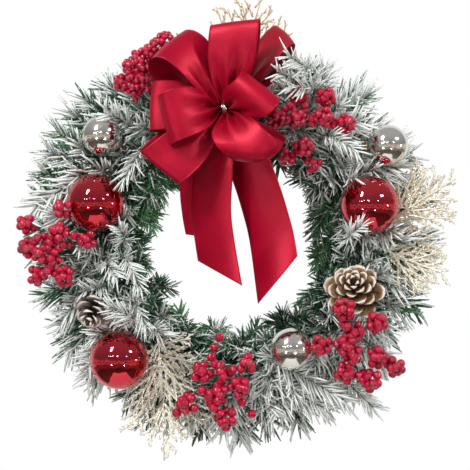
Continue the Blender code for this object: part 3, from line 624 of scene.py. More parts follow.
for branch in range(BRANCHES):
    draw = np.random.default_rng(1000 + branch)
    lines, rows = [], []
    # painted shade and light: the branch's flock is shifted by its side of the wreath
    flock_and_shade_here = np.interp(branch_angle(branch), *FLOCK_AND_SHADE_BY_ANGLE)
    for kind, (*_, needle, flock) in SPRIGS.items():
        line = longest_line(branch, kind)
        if len(line) < 4 or before_sprays(line).mean() > 0.4:
            continue
        lines.append(line)
        rows.append(needles_on(line, needle, flock + flock_and_shade_here, draw, MORE_AT_RIM + 0.9 * min(0, flock_and_shade_here)))
    for number, start, end, needle, flock in STRAYS:
        if number == branch:
            lines.append(bent_over(start, end))
            rows.append(needles_on(lines[-1], needle, flock, draw, MORE_AT_RIM))
    needles, flock, tint = blades(cut_to_room({key: np.concatenate([row[key] for row in rows]) for key in rows[0]}))
    parts = [
        (twisted, *twisted_stems(lines, TWIST_RADIUS)),
        (twisted, *wound_wire(branch_angle(branch), WOUND_TURNS, WOUND_RADIUS)),
        (pine, *needles),
    ]
    values = {"flock": (BARE_STEM, BARE_STEM, flock), "tint": (BARE_STEM, BARE_STEM, tint)}
    name = f"branch_{branch + 1:02d}"
    sprigs = piece("pine_" + name, parts, values)
    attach(sprigs, "root")
    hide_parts(name)


# The baubles: hollow balls blown in clear plastic, metallised inside a vacuum chamber and dipped in red or left
# silver. A stamped metal cap sits on each neck, and its wire is hooked round the ring.
NECK_RADIUS, NECK_LENGTH = 5.5, 4.0
CAP_WIRE = 0.8
CAP_FLUTES = 16
BALL_SIDES, CAP_SIDES = 88, 96


def beside_ring(towards, degrees, distance=14.0):
    """A point in the plane across the ring at that angle, on the side of the piece that hangs there."""
    out, _ = ring_frame(degrees)
    foot = CENTRE + out * RING_RADIUS
    offset = towards - foot
    flat = out * (offset @ out) + np.array([0, offset[1], 0])
    return foot + unit(flat) * distance


def wire_to_ring(start, middle, degrees):
    """From a piece's back to the ring: to a point beside it, then three quarters of a turn round its wire."""
    out, _ = ring_frame(degrees)
    foot = CENTRE + out * RING_RADIUS
    reach = RING_WIRE + CAP_WIRE + 0.15
    near = (middle - foot) @ out, (middle - foot)[1]
    first = math.atan2(near[1], near[0]) + math.acos(reach / math.hypot(*near))
    arc = foot + reach * around(first + np.radians(np.linspace(0, 270, 19))[:, None], out, -FRONT)
    lead = start + (middle - start) * np.linspace(0, 1, 5)[:, None]
    return np.concatenate([lead, middle + (arc[0] - middle) * np.linspace(0.25, 0.75, 3)[:, None], arc])


def turned(profile, base, axis, columns, ripple=0):
    """A profile of (radius, height) rows turned about an axis, with its two poles closed by the end rows.

    ripple is a share by which each point's radius changes, in an array of rows by columns.
    """
    axis = unit(np.array(axis, float))
    side = unit(np.cross(axis, np.eye(3)[np.argmin(np.abs(axis))]))
    profile = np.array(profile)
    reach = np.broadcast_to(profile[:, :1] * (1 + ripple), (len(profile), columns))[..., None]
    ways = around(angles(columns)[:, None], side, np.cross(axis, side))
    return (base + reach * ways + profile[:, 1, None, None] * axis).reshape(-1, 3), shells(len(profile), columns, 1, -1)


def mirror_coat(name, dark, light, tint, roughness):
    """Vacuum metallising under a dyed lacquer: a mirror in the dye's colour, with the lacquer's slight waviness."""
    made, tree, shader = coating(name, {
        "Metallic": 1.0, "Roughness": roughness, "Specular Tint": linear(tint), "Coat Weight": 1.0,
        "Coat Roughness": 0.03,
    })
    spot = add(tree, "TexCoord", out="Object")
    streak = add(tree, "TexNoise", {"Scale": 24.0, "Detail": 3.0, "Vector": spot})
    shade = add(tree, "ValToRGB", {"Fac": streak}, stops=((0.3, dark), (0.75, light)))
    wave = add(tree, "TexNoise", {"Scale": 55.0, "Detail": 1.0, "Vector": spot})
    dent = add(tree, "Bump", {"Height": wave, "Strength": 0.12, "Distance": 0.0004})
    film = add(tree, "TexNoise", {"Scale": 150.0, "Detail": 2.0, "Vector": spot})
    crinkle = add(tree, "Bump", {"Height": film, "Strength": 0.4, "Distance": 0.0005, "Normal": dent})
    feed(shader, {"Base Color": shade, "Normal": crinkle})
    return made


LACQUERS = {
    "red": mirror_coat("red_dyed_mirror_lacquer", "#cb0b29", "#de2138", "#ffe0e0", 0.05),
    "silver": mirror_coat("silver_vacuum_metallising", "#e4e0d8", "#f3f0ea", "#ffffff", 0.12),
}
brass = {"Metallic": 1.0, "Roughness": 0.3, "Base Color": linear("#c9b184")}
stamped, tree, shader = coating("stamped_brass_plate", brass)

for name, (centre, radius, degrees) in BAUBLES.items():
    centre = at(centre)
    back = unit(beside_ring(centre, degrees, 16) - centre)
    meet = math.acos(NECK_RADIUS / radius)
    rim = radius * math.sin(meet)
    a = np.linspace(-math.pi / 2 + 0.01, meet, 56)
    neck = [(NECK_RADIUS, rim + NECK_LENGTH * share) for share in (0.35, 0.7, 1.0)]
    dye = name.split("_")[0]
    skin = turned([*np.stack([radius * np.cos(a), radius * np.sin(a)], -1), *neck], centre, back, BALL_SIDES)
    ball = piece("ball_" + name, [(LACQUERS[dye], *skin)])
    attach(ball, "root")
    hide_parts("bauble_" + name)

    low, roof = rim + 1.5, rim + NECK_LENGTH + 0.3
    # each row of the cap: its radius, its height and the share of its radius that its flutes are deep
    *profile, depths = np.array([
        (5.9, roof - 0.3, 0), (5.9, low + 0.2, 0), (6.1, low, 0.02), (6.6, low, 0.035), (6.7, low + 0.3, 0.035),
        (6.6, roof - 0.4, 0.03), (6.2, roof + 0.3, 0.01), (4.6, roof + 0.75, 0), (0.4, roof + 0.8, 0),
    ]).T
    flutes = np.cos(angles(CAP_SIDES) * CAP_FLUTES) * depths[:, None]
    path = wire_to_ring(centre + back * (roof + 0.6), beside_ring(centre, degrees), degrees)
    plate = turned(np.transpose(profile), centre, back, CAP_SIDES, flutes)
    cap = piece("cap_" + name, [(stamped, *plate), (stamped, *rod(path, CAP_WIRE))])
    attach(cap, "root")
    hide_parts("bauble_cap_" + name)


# The pine cones: dried cones of open woody scales. They are wired at the base, and white paint is wiped along the
# lips of their scales.
GOLDEN_ANGLE = 2.39996
# how many scales, and how many of them go once round
CONE_SCALES = {"right": (32, 10.4), "left": (18, 7.6)}
# the angle on the ring that the wire goes to
CONE_ANGLES = {"right": 336, "left": 210}


def cone_scales(name):
    """Scales set at the golden angle up a core: each is a flat section carried from the core out to its lip.

    The section's half width grows to the lip and rounds off there, its middle is cupped, and the scales lean
    further forward the nearer they are to the tip. Gives the scales, the core, and each point's share of lip
    and of the way out.
    """
    base, pointing, length, radius = CONES[name]
    count, once_round = CONE_SCALES[name]
    rows, columns = 9, 12
    draw = np.random.default_rng(70 + count)
    base, axis = at(base), unit(np.array(pointing, float))
    side = unit(np.cross(axis, np.array([0.3, 0.1, 1.0])))
    s = (np.arange(count) / (count - 1))[:, None, None]
    turn = (np.arange(count) * GOLDEN_ANGLE + draw.uniform(-0.08, 0.08, count))[:, None, None]
    out = around(turn, side, np.cross(axis, side))
    along = np.cross(axis, out)
    reach = radius * (1 - 0.80 * s**1.15) * draw.uniform(0.92, 1.04, (count, 1, 1))
    height = length * (0.06 + 0.74 * s)
    lean = np.radians(4 + 74 * s**1.5 + draw.uniform(-5, 5, (count, 1, 1)) * (1 - s))
    u = np.linspace(0, 1, rows)[None, :, None]
    rise = reach * np.sin(lean) * u + reach * 0.22 * u**2
    line = (base + axis * (height - 3 + rise) + out * (1.5 + reach * np.cos(lean) ** 0.5 * u))[:, :, None]
    rounded = np.sqrt(1 - 0.80 * np.clip((u - 0.66) / 0.34, 0, 1) ** 2)
    half = math.tau * (reach + 3) / once_round * 0.5 * (0.40 + 0.60 * np.clip(u / 0.68, 0, 1) ** 1.3) * rounded
    half, thick, u = half[:, :, None], (0.5 + 1.0 * u**4)[:, :, None], u[..., None]
    phi = angles(columns)[None, None, :, None]
    normal = unit(axis * np.cos(lean) - out * np.sin(lean))[:, :, None]
    cup = half * 0.26 * np.cos(phi) ** 2
    points = line + along[:, :, None] * half * np.cos(phi) + normal * (thick * np.sin(phi) + cup)
    lip = np.clip((u - 0.76) / 0.24, 0, 1) + 0.9 * np.abs(np.cos(phi)) ** 7 * u**1.5
    lip, deep = (np.broadcast_to(level, (count, rows, columns, 1)).ravel() for level in (lip, u))
    spindle = [(0.5, -1.5), (radius * 0.2, 0), (radius * 0.16, length * 0.5), (1.0, length * 0.93)]
    scales = points.reshape(-1, 3), shells(rows, columns, count, -1)
    return scales, turned(spindle, base, axis, columns), lip, deep


def cone_coat(name, dark, warm, tan):
    """Dried woody scales, from dark at the core to tan at the lip, the dark being painted shade deep among the scales,
    with white paint rubbed on the lips.
    """
    made, tree, shader = coating(name, {"Roughness": 0.72, "Specular IOR Level": 0.3})
    spot = add(tree, "TexCoord", out="Object")
    grain = add(tree, "TexNoise", {"Scale": 260.0, "Detail": 4.0, "Vector": spot})
    level = add(tree, "Math", {0: add(tree, "Attribute", out="Fac", attribute_name="deep"), 1: grain})
    far = add(tree, "MapRange", {"Value": level, "From Min": 0.75, "From Max": 1.45})
    # painted shade: the scales darken towards the core, where the cone's recesses lie in shade
    shade = add(tree, "ValToRGB", {"Fac": far}, stops=((0, dark), (0.45, warm), (1, tan)))
    smear = add(tree, "TexNoise", {"Scale": 150.0, "Detail": 3.0, "Vector": spot})
    cover = add(tree, "Math", {0: add(tree, "Attribute", out="Fac", attribute_name="lip"), 1: smear})
    white = add(tree, "MapRange", {"Value": cover, "From Min": 1.04, "From Max": 1.36})
    skin = add(tree, "Mix", {0: white, 6: shade, 7: linear("#dfd2c8")}, out=2, data_type="RGBA")
    rub = add(tree, "Bump", {"Height": grain, "Strength": 0.5, "Distance": 0.0005})
    feed(shader, {"Base Color": skin, "Normal": rub})
    return made


CONE_COATS = {
    "right": cone_coat("dried_cone_scale", "#1a0f08", "#5f432b", "#a88962"),
    "left": cone_coat("weathered_cone_scale", "#2a2320", "#776a63", "#b5a9a2"),
}

for name, coat in CONE_COATS.items():
    scales, core, lip, deep = cone_scales(name)
    cone = piece("pine_cone_" + name, [(coat, *scales), (coat, *core)], {"lip": (lip, 0), "deep": (deep, 0)})
    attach(cone, "root")
    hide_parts("cone_" + name)
    base, pointing, *_ = CONES[name]
    start = at(base) - unit(np.array(pointing, float)) * 0.9
    path = wire_to_ring(start, beside_ring(at(base), CONE_ANGLES[name]), CONE_ANGLES[name])
    wire = piece("cone_stay_" + name, [(lacquer, *rod(path, CAP_WIRE))])
    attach(wire, "root")
    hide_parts("cone_wire_" + name)


# The cedar sprays: flat fronds moulded in cream plastic, forked again and again, brushed with glue and rolled in
# gold glitter. Each is wired to the ring by its stem.
# side stems: how far along they start, their angle in degrees, and their share of the spray's length
CEDAR_SIDES = (
    (0.0, 0, 1.0), (0.05, 50, 0.52), (0.07, -50, 0.52), (0.16, 30, 0.68), (0.20, -30, 0.66), (0.36, 34, 0.48),
    (0.42, -34, 0.46), (0.58, 30, 0.32), (0.64, -30, 0.28),
)
TWIG_PITCH, LEAF_PITCH, LEAF_LENGTH = 6.6, 2.5, 5.4
TWIG_LEAN, LEAF_LEAN = 30, 27
TOP_SPARSE, TOP_THIN = 1.45, 0.72
CEDAR_GOLD = {"top": 0.9, "right_high": 0.18, "right_low": 0.18, "bottom": 0.06}


def fork(root, aim, length, side, facing, pitch, lean, share, draw):
    """Side twigs of stems, on alternate sides at even steps. All are arrays with a row for each stem."""
    twigs = []
    for one, way, long in zip(root, aim, length):
        count = max(1, int(long / pitch))
        s = (np.arange(count) + 0.6)[:, None] / count
        hand = np.where(np.arange(count) % 2, 1.0, -1.0)[:, None] * side
        across = np.cross(way, facing)
        a = np.radians(lean + draw.uniform(-6, 6, (count, 1)))
        new = way * np.cos(a) + across * hand * np.sin(a) + facing * draw.uniform(-0.16, 0.16, (count, 1))
        twigs.append((one + way * long * s, unit(new), share(long, s[:, 0]) * draw.uniform(0.8, 1.15, count)))
    return [np.concatenate(rows) for rows in zip(*twigs)]


def strands(root, aim, length, radius, facing, draw, steps, sides):
    """Stems that bow a little: root + aim * length * s + bow * length * s squared, with scale leaves as swellings."""
    s = np.linspace(0, 1, steps)[None, :, None]
    bow = draw.uniform(-0.10, 0.10, (len(root), 1, 3)) + facing * 0.03
    reach = length[:, None, None]
    paths = root[:, None] + aim[:, None] * reach * s + bow * reach * s**2
    swell = 1 + 0.22 * np.where(np.arange(steps) % 2, 1.0, -1.0)
    taper = radius * (1 - 0.35 * s[0, :, 0]) * swell
    return tubes(paths, np.broadcast_to(taper, (len(root), steps)), sides)


# Cream plastic with flakes of foil glitter about 0.7 mm wide, a quarter of them bright: the real ones are finer.
glitter, tree, shader = coating("glittered_moulded_cedar", {})
grit = add(tree, "TexVoronoi", {"Scale": 1500.0, "Vector": add(tree, "TexCoord", out="Object")}, out="Color")
flake = add(tree, "SeparateColor", {"Color": grit})
bright = add(tree, "MapRange", {"Value": flake, "From Min": 0.72, "From Max": 0.78})
gold = add(tree, "Attribute", out="Fac", attribute_name="gold")
body = add(tree, "Mix", {0: gold, 6: linear("#e3e1d2"), 7: linear("#cdb084")}, out=2, data_type="RGBA")
spark = add(tree, "Mix", {0: gold, 6: linear("#f8f2e2"), 7: linear("#e9c58c")}, out=2, data_type="RGBA")
skin = add(tree, "Mix", {0: bright, 6: body, 7: spark}, out=2, data_type="RGBA")
shine = add(tree, "Math", {0: bright, 1: 0.7}, operation="MULTIPLY")
rough = add(tree, "MapRange", {"Value": bright, "To Min": 0.75, "To Max": 0.28})
feed(shader, {"Base Color": skin, "Metallic": shine, "Roughness": rough})

for number, (name, (root, pointing, length, degrees, more)) in enumerate(CEDARS.items()):
    draw = np.random.default_rng(300 + number)
    root = at(root)
    ahead, across, facing = spray_axes(pointing)
    place, degrees_off, share = np.array([*CEDAR_SIDES, *more]).T
    lean = np.radians(degrees_off)[:, None]
    forward = np.where(np.arange(len(place)) < len(CEDAR_SIDES), 0, MORE_FORWARD)[:, None]
    aims = unit(ahead * np.cos(lean) + across * np.sin(lean) + facing * forward)
    stems = root + ahead * length * place[:, None], aims, length * share
    sparse, thin = (TOP_SPARSE, TOP_THIN) if name == "top" else (1, 1)
    twigs = fork(
        *stems, 1, facing, TWIG_PITCH * sparse, TWIG_LEAN, lambda long, s: 9 + 0.30 * long * (1 - s) ** 0.8, draw,
    )
    leaves = fork(
        *twigs, -1, facing, LEAF_PITCH * sparse, LEAF_LEAN, lambda long, s: LEAF_LENGTH * (1 - 0.45 * s), draw,
    )
    path = wire_to_ring(root, beside_ring(root, degrees), degrees)
    parts = [
        (glitter, *strands(*stems, 1.3 * thin, facing, draw, 16, 6)),
        (glitter, *strands(*twigs, 1.25 * thin, facing, draw, 8, 4)),
        (glitter, *strands(*leaves, 1.1 * thin, facing, draw, 3, 3)),
        (glitter, *rod(path, np.linspace(1.2, CAP_WIRE, len(path)), 6)),
    ]
    spray = piece("frond_" + name, parts, {"gold": [CEDAR_GOLD[name]] * len(parts)})
    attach(spray, "root")
    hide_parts("cedar_" + name)


# The berry picks: foam berries dipped in red gloss lacquer, some seven to a bunch, each bunch on a wire that is
# bound in brown tape. The wires meet in one stem, which is hooked round the ring.
BERRY_RADIUS, STALK_RADIUS, STEM_RADIUS = 4.4, 0.75, 1.0
FULLER = 1.25
BERRY_SIZES = {"top_left": 0.82, "top_right": 0.96, "left": 1.02, "bottom": 1.1, "right": 1.06}
# each bunch: where it is, and how many berries show; one of more than three has FULLER times as many in all
BUNCHES = {
    "top_left": (
        (-71, -54, 206, 11), (-80, -56, 200, 8), (-89, -56, 193, 10), (-99, -55, 187, 8), (-106, -54, 180, 9),
        (-94, -60, 177, 8), (-104, -56, 168, 8), (-93, -60, 165, 7), (-115, -56, 163, 9), (-102, -58, 156, 6),
        (-90, -56, 159, 5), (-100, -54, 151, 3),
    ),
    "top_right": (
        (63, -64, 151, 9), (56, -62, 138, 2), (70, -60, 138, 2), (62, -66, 126, 8), (42, -62, 126, 8),
        (77, -62, 125, 3), (89, -68, 127, 8), (92, -60, 148, 8), (99, -58, 120, 3), (111, -64, 121, 9),
        (69, -66, 97, 8), (52, -64, 87, 5), (79, -56, 80, 5),
    ),
    "left": (
        (-174, -70, 35, 5), (-212, -50, 19, 6), (-178, -66, 11, 8), (-199, -58, 6, 3),
        (-187, -58, -1, 4), (-174, -60, -1, 3), (-162, -62, 8, 2), (-149, -64, 3, 5), (-210, -54, -5, 7),
        (-196, -62, -11, 5), (-185, -62, -15, 4), (-188, -58, -29, 4), (-201, -52, -33, 6),
        (-173, -64, -33, 8),
    ),
    "bottom": (
        (-16, -60, -95, 1), (-21, -62, -105, 1), (-24, -62, -115, 1), (-33, -64, -130, 6),
        (-15, -62, -124, 3), (-12, -64, -134, 3), (-2, -60, -126, 2), (12, -64, -122, 5),
        (4, -66, -145, 6), (7, -56, -161, 1), (17, -56, -173, 1), (-33, -60, -149, 1),
        (-27, -62, -156, 1), (-17, -66, -152, 6), (-21, -62, -166, 2), (-9, -62, -177, 7),
        (-48, -60, -162, 6), (-59, -56, -172, 1),
    ),
    "right": (
        (109, -80, -66, 8), (113, -74, -83, 2), (120, -70, -89, 6), (143, -68, -80, 7),
        (111, -70, -102, 8), (118, -66, -112, 6), (86, -70, -103, 8), (111, -64, -131, 7),
        (144, -64, -115, 7), (162, -58, -125, 6), (137, -62, -139, 8), (125, -58, -132, 2),
    ),
}


def berry_bunch(centre, along, count, radius, draw):
    """Places of the berries: a golden-angle spiral over a ball, from one berry at the front down to the stalk.

    Berries that would be inside a bauble are pushed out to its surface.
    """
    side = unit(np.cross(along, np.array([0.2, 0.1, 1.0])))
    count = round(count * FULLER) if count > 3 else count
    k = np.arange(count)
    rise = (1 - 1.8 * k / count)[:, None]
    turn = (k * GOLDEN_ANGLE + draw.uniform(0, math.tau))[:, None]
    ways = rise * along + np.sqrt(1 - rise**2) * around(turn, side, np.cross(along, side))
    reach = radius * (0.58 + 0.37 * math.sqrt(count)) * draw.uniform(0.94, 1.1, (count, 1)) * (count > 1)
    places = centre + ways * reach
    for ball, ball_radius, _ in BAUBLES.values():
        away = places - at(ball)
        distance = np.linalg.norm(away, axis=1, keepdims=True)
        places = at(ball) + away * np.maximum(1, (ball_radius + radius + 0.4) / distance)
    return places, ways


def berries(places, ways, radius, draw):
    """Balls with a small dimple at the far end: the radius is r * (1 - 0.12 * exp of minus angle over 0.3 squared)."""
    rows, columns = 9, 12
    polar = np.linspace(0.0, math.pi, rows)[None, :, None, None]
    size = (radius * draw.uniform(0.92, 1.06, len(places)))[:, None, None, None]
    size = size * (1 - 0.12 * np.exp(-((polar / 0.3) ** 2)))
    ways = ways[:, None, None]
    side = unit(np.cross(ways, np.array([0.1, 0.3, 1.0])))
    thin = np.maximum(np.sin(polar), 0.02)
    out = around(angles(columns)[None, None, :, None], side, np.cross(ways, side))
    points = places[:, None, None] + size * (np.cos(polar) * ways + thin * out)
    return points.reshape(-1, 3), shells(rows, columns, len(places))


# Clear lacquer over red: it pools, so the red is uneven, and a hard gloss lies over a satin body.
gloss, tree, shader = coating("red_gloss_berry_lacquer", {
    "Roughness": 0.2, "Specular IOR Level": 0.2, "Coat Weight": 0.9, "Coat Roughness": 0.05,
})
pool = add(tree, "TexNoise", {"Scale": 130.0, "Detail": 2.0, "Vector": add(tree, "TexCoord", out="Object")})
shade = add(tree, "ValToRGB", {"Fac": pool}, stops=((0.3, "#8c0020"), (0.7, "#be0238")))
skin = add(tree, "Bump", {"Height": pool, "Strength": 0.2, "Distance": 0.0003})
feed(shader, {"Base Color": shade, "Normal": skin})
bound, tree, shader = coating("brown_floral_tape", {"Roughness": 0.8})
wrap = add(tree, "TexNoise", {"Scale": 500.0, "Detail": 2.0, "Vector": add(tree, "TexCoord", out="Object")})
feed(shader, {"Base Color": add(tree, "ValToRGB", {"Fac": wrap}, stops=((0, "#3a2a1f"), (1, "#6d5a48")))})

for number, (name, bunches) in enumerate(BUNCHES.items()):
    draw = np.random.default_rng(500 + number)
    degrees, solid_bunches = PICKS[name]
    foot = beside_ring(at(np.mean(solid_bunches, axis=0)), degrees, 20)
    radius = BERRY_RADIUS * BERRY_SIZES[name]
    stalks, found = [], []
    for *place, count in bunches:
        tip = at(place)
        bend = foot + (tip - foot) * 0.6
        bend[1] = foot[1] * 0.75 + tip[1] * 0.25
        s = np.linspace(0, 1, 12)[:, None]
        line = foot * (1 - s) ** 2 + 2 * s * (1 - s) * bend + tip * s**2
        towards = unit(unit(line[-1] - line[-3]) * 0.5 + FRONT + draw.uniform(-0.3, 0.3, 3))
        stalks.append(line)
        found.append(berry_bunch(tip, towards, count, radius, draw))
    stalks = np.stack(stalks)
    balls = berries(*(np.concatenate(rows) for rows in zip(*found)), radius, draw)
    pick = piece("pick_" + name, [
        (gloss, *balls),
        (bound, *tubes(stalks, np.full(stalks.shape[:2], STALK_RADIUS), 6)),
        (bound, *rod(wire_to_ring(foot, foot, degrees)[5:], STEM_RADIUS)),
    ])
    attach(pick, "root")
    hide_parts("berries_" + name)


# The bow: 50 mm red satin ribbon with a fine wire in each edge, folded into eight loops and cut into three tails,
# gathered at the middle and tied with tinsel wire. The loops are puffed out by hand.
RIBBON_WIDTH, RIBBON_THICK = 50.0, 0.35
# the share of the ribbon's width that is left at the knot, and how many pleats take up the rest
PINCHED, PLEATS = 0.14, 2.4
# loops start this far beside the tie, the rear ones behind it, and those that end LOW_LOOP lower under it
BESIDE_TIE, BEHIND_TIE, UNDER_TIE, LOW_LOOP = 6.5, 13.0, 7.0, 30
# the tails' fold is beside and behind the tie
TAIL_BESIDE, TAIL_BEHIND = 7.0, 6.2
# points along and across a loop and a tail
LOOP_POINTS, TAIL_POINTS = (97, 31), (101, 25)
# each tail: points on its middle line, how far it turns in degrees, and its slanted cut: by how many hundredths
# of its length its right edge is shorter, or its left edge where that is negative
TAILS = {
    "left": (
        ((-17, -64, 125), (-20, -62, 100), (-23, -61, 60), (-24, -61, 30), (-20, -65, -2), (-13, -77, -42)), -36, -14,
    ),
    "left_back": (((-20, -58, 125), (-27, -46, 100), (-33, -40, 60), (-31, -38, 30), (-26, -38, 2)), -20, -5),
    "right": (
        ((-5, -62, 125), (6, -58, 100), (21, -57, 62), (31, -57, 30), (38, -60, 0), (46, -76, -61)), -24, 24,
    ),
}


def open_share(share):
    """How much of the ribbon's width is open: it opens fast from the gathered share at the knot, to all of it."""
    t = np.clip(share, 0, 1)
    return PINCHED + (1 - PINCHED) * (1 - (1 - t) ** 2.4)


def pleat(opened, v, phase):
    """How far the pleats stand out: a quarter of a pleat's missing length at the knot, dying away as it opens."""
    high = RIBBON_WIDTH / PLEATS * np.sqrt(np.maximum(1 - opened**2, 0)) / 4
    return high * (1 - opened) ** 0.35 * np.cos(math.pi * PLEATS * v + phase)


def loop_surface(start, end, thickness, side, splay, belly, phase):
    """One loop: out from the knot to its fold and back, as root + reach * 4t(1-t), puffed by a cubic lift.

    The fold bulges by belly in the middle of the ribbon's width, and the two layers are shifted by splay to
    opposite sides.
    """
    start, end, knot = at(start), at(end), at(KNOT)
    fold = (start + end) / 2
    behind = BEHIND_TIE if fold[1] > knot[1] else 0
    below = UNDER_TIE if fold[2] < knot[2] - LOW_LOOP else 0
    root = knot + np.array([side * BESIDE_TIE, behind, -below])
    wide = unit(end - start)
    reach = fold - root
    face = unit(np.cross(reach, wide))
    face = -face if face[1] > 0 else face
    t = np.linspace(0, 1, LOOP_POINTS[0])[:, None, None]
    v = np.linspace(-1, 1, LOOP_POINTS[1])[None, :, None]
    out = 4 * t * (1 - t)
    opened = open_share(out * 1.15)
    lift = 10.4 * t * (1 - t) * (1 - 2 * t) * thickness + (1 - 2 * t)
    crease = 0.8 * np.sin(3.1 * v + 5 * t + phase) * out * (1 - out * 0.6)
    shift = wide * splay * 2.6 * out * (1 - 2 * t)
    line = root + reach * out * (1 + belly * (1 - v**2) * out) + shift
    return line + face * (lift + pleat(opened, v, phase) + crease) + wide * v * RIBBON_WIDTH / 2 * opened


def smooth_path(points, count):
    """Points at even steps along a Catmull-Rom curve through a few chosen ones."""
    ends = np.concatenate([[2 * points[0] - points[1]], points, [2 * points[-1] - points[-2]]])
    place = np.minimum(np.linspace(0, len(points) - 1, count + 1), len(points) - 1 - 1e-9)
    k = place.astype(int)
    t = (place - k)[:, None]
    a, b, c, d = ends[k], ends[k + 1], ends[k + 2], ends[k + 3]
    return 0.5 * (2 * b + (c - a) * t + (2 * a - 5 * b + 4 * c - d) * t**2 + (3 * b - a - 3 * c + d) * t**3)


def tail_surface(name, points, turn, cut):
    """One tail: its centre line from the fold behind the knot, opened and turned as it falls, with a slanted cut."""
    start = at(KNOT) + (-TAIL_BESIDE if name.startswith("left") else TAIL_BESIDE, TAIL_BEHIND, 0)
    line = smooth_path(np.array([start, *(at(point) for point in points)]), 80)
    t = np.linspace(0, 1, TAIL_POINTS[0])[:, None]
    v = np.linspace(-1, 1, TAIL_POINTS[1])[None, :]
    shorter = (1 + v) / 2 * cut if cut > 0 else (v - 1) / 2 * cut
    steps = np.concatenate([[0], np.cumsum(np.linalg.norm(np.diff(line, axis=0), axis=1))])
    place = t * (1 - shorter / 100) * steps[-1]
    middle = np.stack([np.interp(place, steps, line[:, k]) for k in range(3)], -1)
    opened = open_share(t * 3.2)
    free = np.minimum(1, t * 3)
    a = np.radians(turn) * free
    wide = np.stack([np.cos(a), np.sin(a), 0 * a], -1)
    curl = (1 - v**2) * 4 * free + pleat(opened, v, 0.4) * 0.7
    ripple = 0.9 * np.sin(9 * t + 1.3 * v + len(name)) * free
    return middle + wide * (v * opened * RIBBON_WIDTH / 2)[..., None] + FRONT * (curl + ripple)[..., None]


# Polyester satin: warp threads float over the weft, so light runs in a band across the ribbon. The threads are
# drawn at 0.5 mm, coarser than the real 0.1 mm, to show at all. A wave's band is tau / 20 wide at a scale of 1.
THREAD = 0.5
# where the woven edge over the wire begins and ends, from the ribbon's middle
EDGE_WIRE = (23.4, 23.8)
satin, tree, shader = coating("red_polyester_satin", {
    "Metallic": 0.32, "Roughness": 0.38, "Anisotropic": 0.55, "Specular IOR Level": 0.22, "Sheen Weight": 0.05,
    "Sheen Roughness": 0.4, "Sheen Tint": linear("#ff4a5c"),
})
pattern = add(tree, "UVMap", uv_map="pattern")
threads = add(tree, "TexWave", {"Scale": math.tau / 20 / THREAD, "Vector": pattern}, out="Fac", bands_direction="Y")
slub = add(tree, "TexNoise", {"Scale": 0.03, "Detail": 1.0, "Vector": pattern})
shade = add(tree, "ValToRGB", {"Fac": slub}, stops=((0.3, "#9a0223"), (0.7, "#ac042a")))
weave = add(tree, "Bump", {"Height": threads, "Strength": 0.12, "Distance": 0.0002})
edge = add(tree, "Math", {0: add(tree, "SeparateXYZ", {"Vector": pattern}, out="Y")}, operation="ABSOLUTE")
hem = add(tree, "MapRange", {"Value": edge, "From Min": EDGE_WIRE[0], "From Max": EDGE_WIRE[1]})
seam = add(tree, "Bump", {"Height": hem, "Strength": 0.6, "Distance": 0.0004, "Normal": weave})
along = add(tree, "Tangent", direction_type="UV_MAP", uv_map="pattern")
feed(shader, {"Base Color": shade, "Normal": seam, "Tangent": along})


def ribbon(name, surface, node):
    """A length of ribbon, from a surface of rows along it by columns across it, and how long it is."""
    rows, columns, _ = surface.shape
    length = np.linalg.norm(np.diff(surface[:, columns // 2], axis=0), axis=1).sum()
    along = np.linspace(0, length, rows)[:, None] + np.zeros(columns)
    across = np.linspace(-RIBBON_WIDTH / 2, RIBBON_WIDTH / 2, columns)[None] + np.zeros((rows, 1))
    parts = [(satin, surface.reshape(-1, 3), [grid(rows, columns)])]
    made = piece(name, parts, uv=np.stack([along, across], -1))
    thick = made.modifiers.new("thickness", "SOLIDIFY")
    thick.thickness = RIBBON_THICK * MM
    thick.offset = 0.0
    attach(made, "root")
    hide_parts(node)
    return made, length


for number, (name, shape) in enumerate(LOOPS.items()):
    made, length = ribbon("ribbon_loop_" + name, loop_surface(*shape, 0.3 + number), "bow_loops")
for name, (points, turn, cut) in TAILS.items():
    made, length = ribbon("ribbon_tail_" + name, tail_surface(name, points, turn, cut), "bow_tails")
    share = 1 - abs(cut) / 200

# The tie: tinsel wire, a soft iron wire wound with flat silver lurex, three turns round the gathers. Its two ends
# go back to the ring.
TIE_WIRE, TIE_TURNS = 0.75, 3
TIE_ANGLE = 95
# half the coil's depth and height, and how far behind its middle the two ends leave it
TIE_DEEP, TIE_HIGH, TIE_BACK = 9.4, 6.6, 9.1
tinsel, tree, shader = coating("silver_tinsel_wire", {"Metallic": 1.0, "Roughness": 0.25})
grit = add(tree, "TexVoronoi", {"Scale": 1400.0, "Vector": add(tree, "TexCoord", out="Object")}, out="Color")
flake = add(tree, "SeparateColor", {"Color": grit})
feed(shader, {"Base Color": add(tree, "ValToRGB", {"Fac": flake}, stops=((0, "#8f8f90"), (1, "#ffffff")))})
knot = at(KNOT) - (0, 0, 2.0)
turn = np.linspace(0, TIE_TURNS * math.tau, 28 * TIE_TURNS + 1)[:, None]
side_step = (turn / math.tau - TIE_TURNS / 2) * 2.1 * TIE_WIRE
coil = knot + np.concatenate([side_step, -0.6 - TIE_DEEP * np.cos(turn), TIE_HIGH * np.sin(turn)], axis=1)
stay = wire_to_ring(knot - FRONT * TIE_BACK, beside_ring(knot, TIE_ANGLE, 20), TIE_ANGLE)
tie = piece("tinsel_tie", [(tinsel, *rod(coil, TIE_WIRE)), (tinsel, *rod(stay, CAP_WIRE))])
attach(tie, "root")
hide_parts("bow_tie")


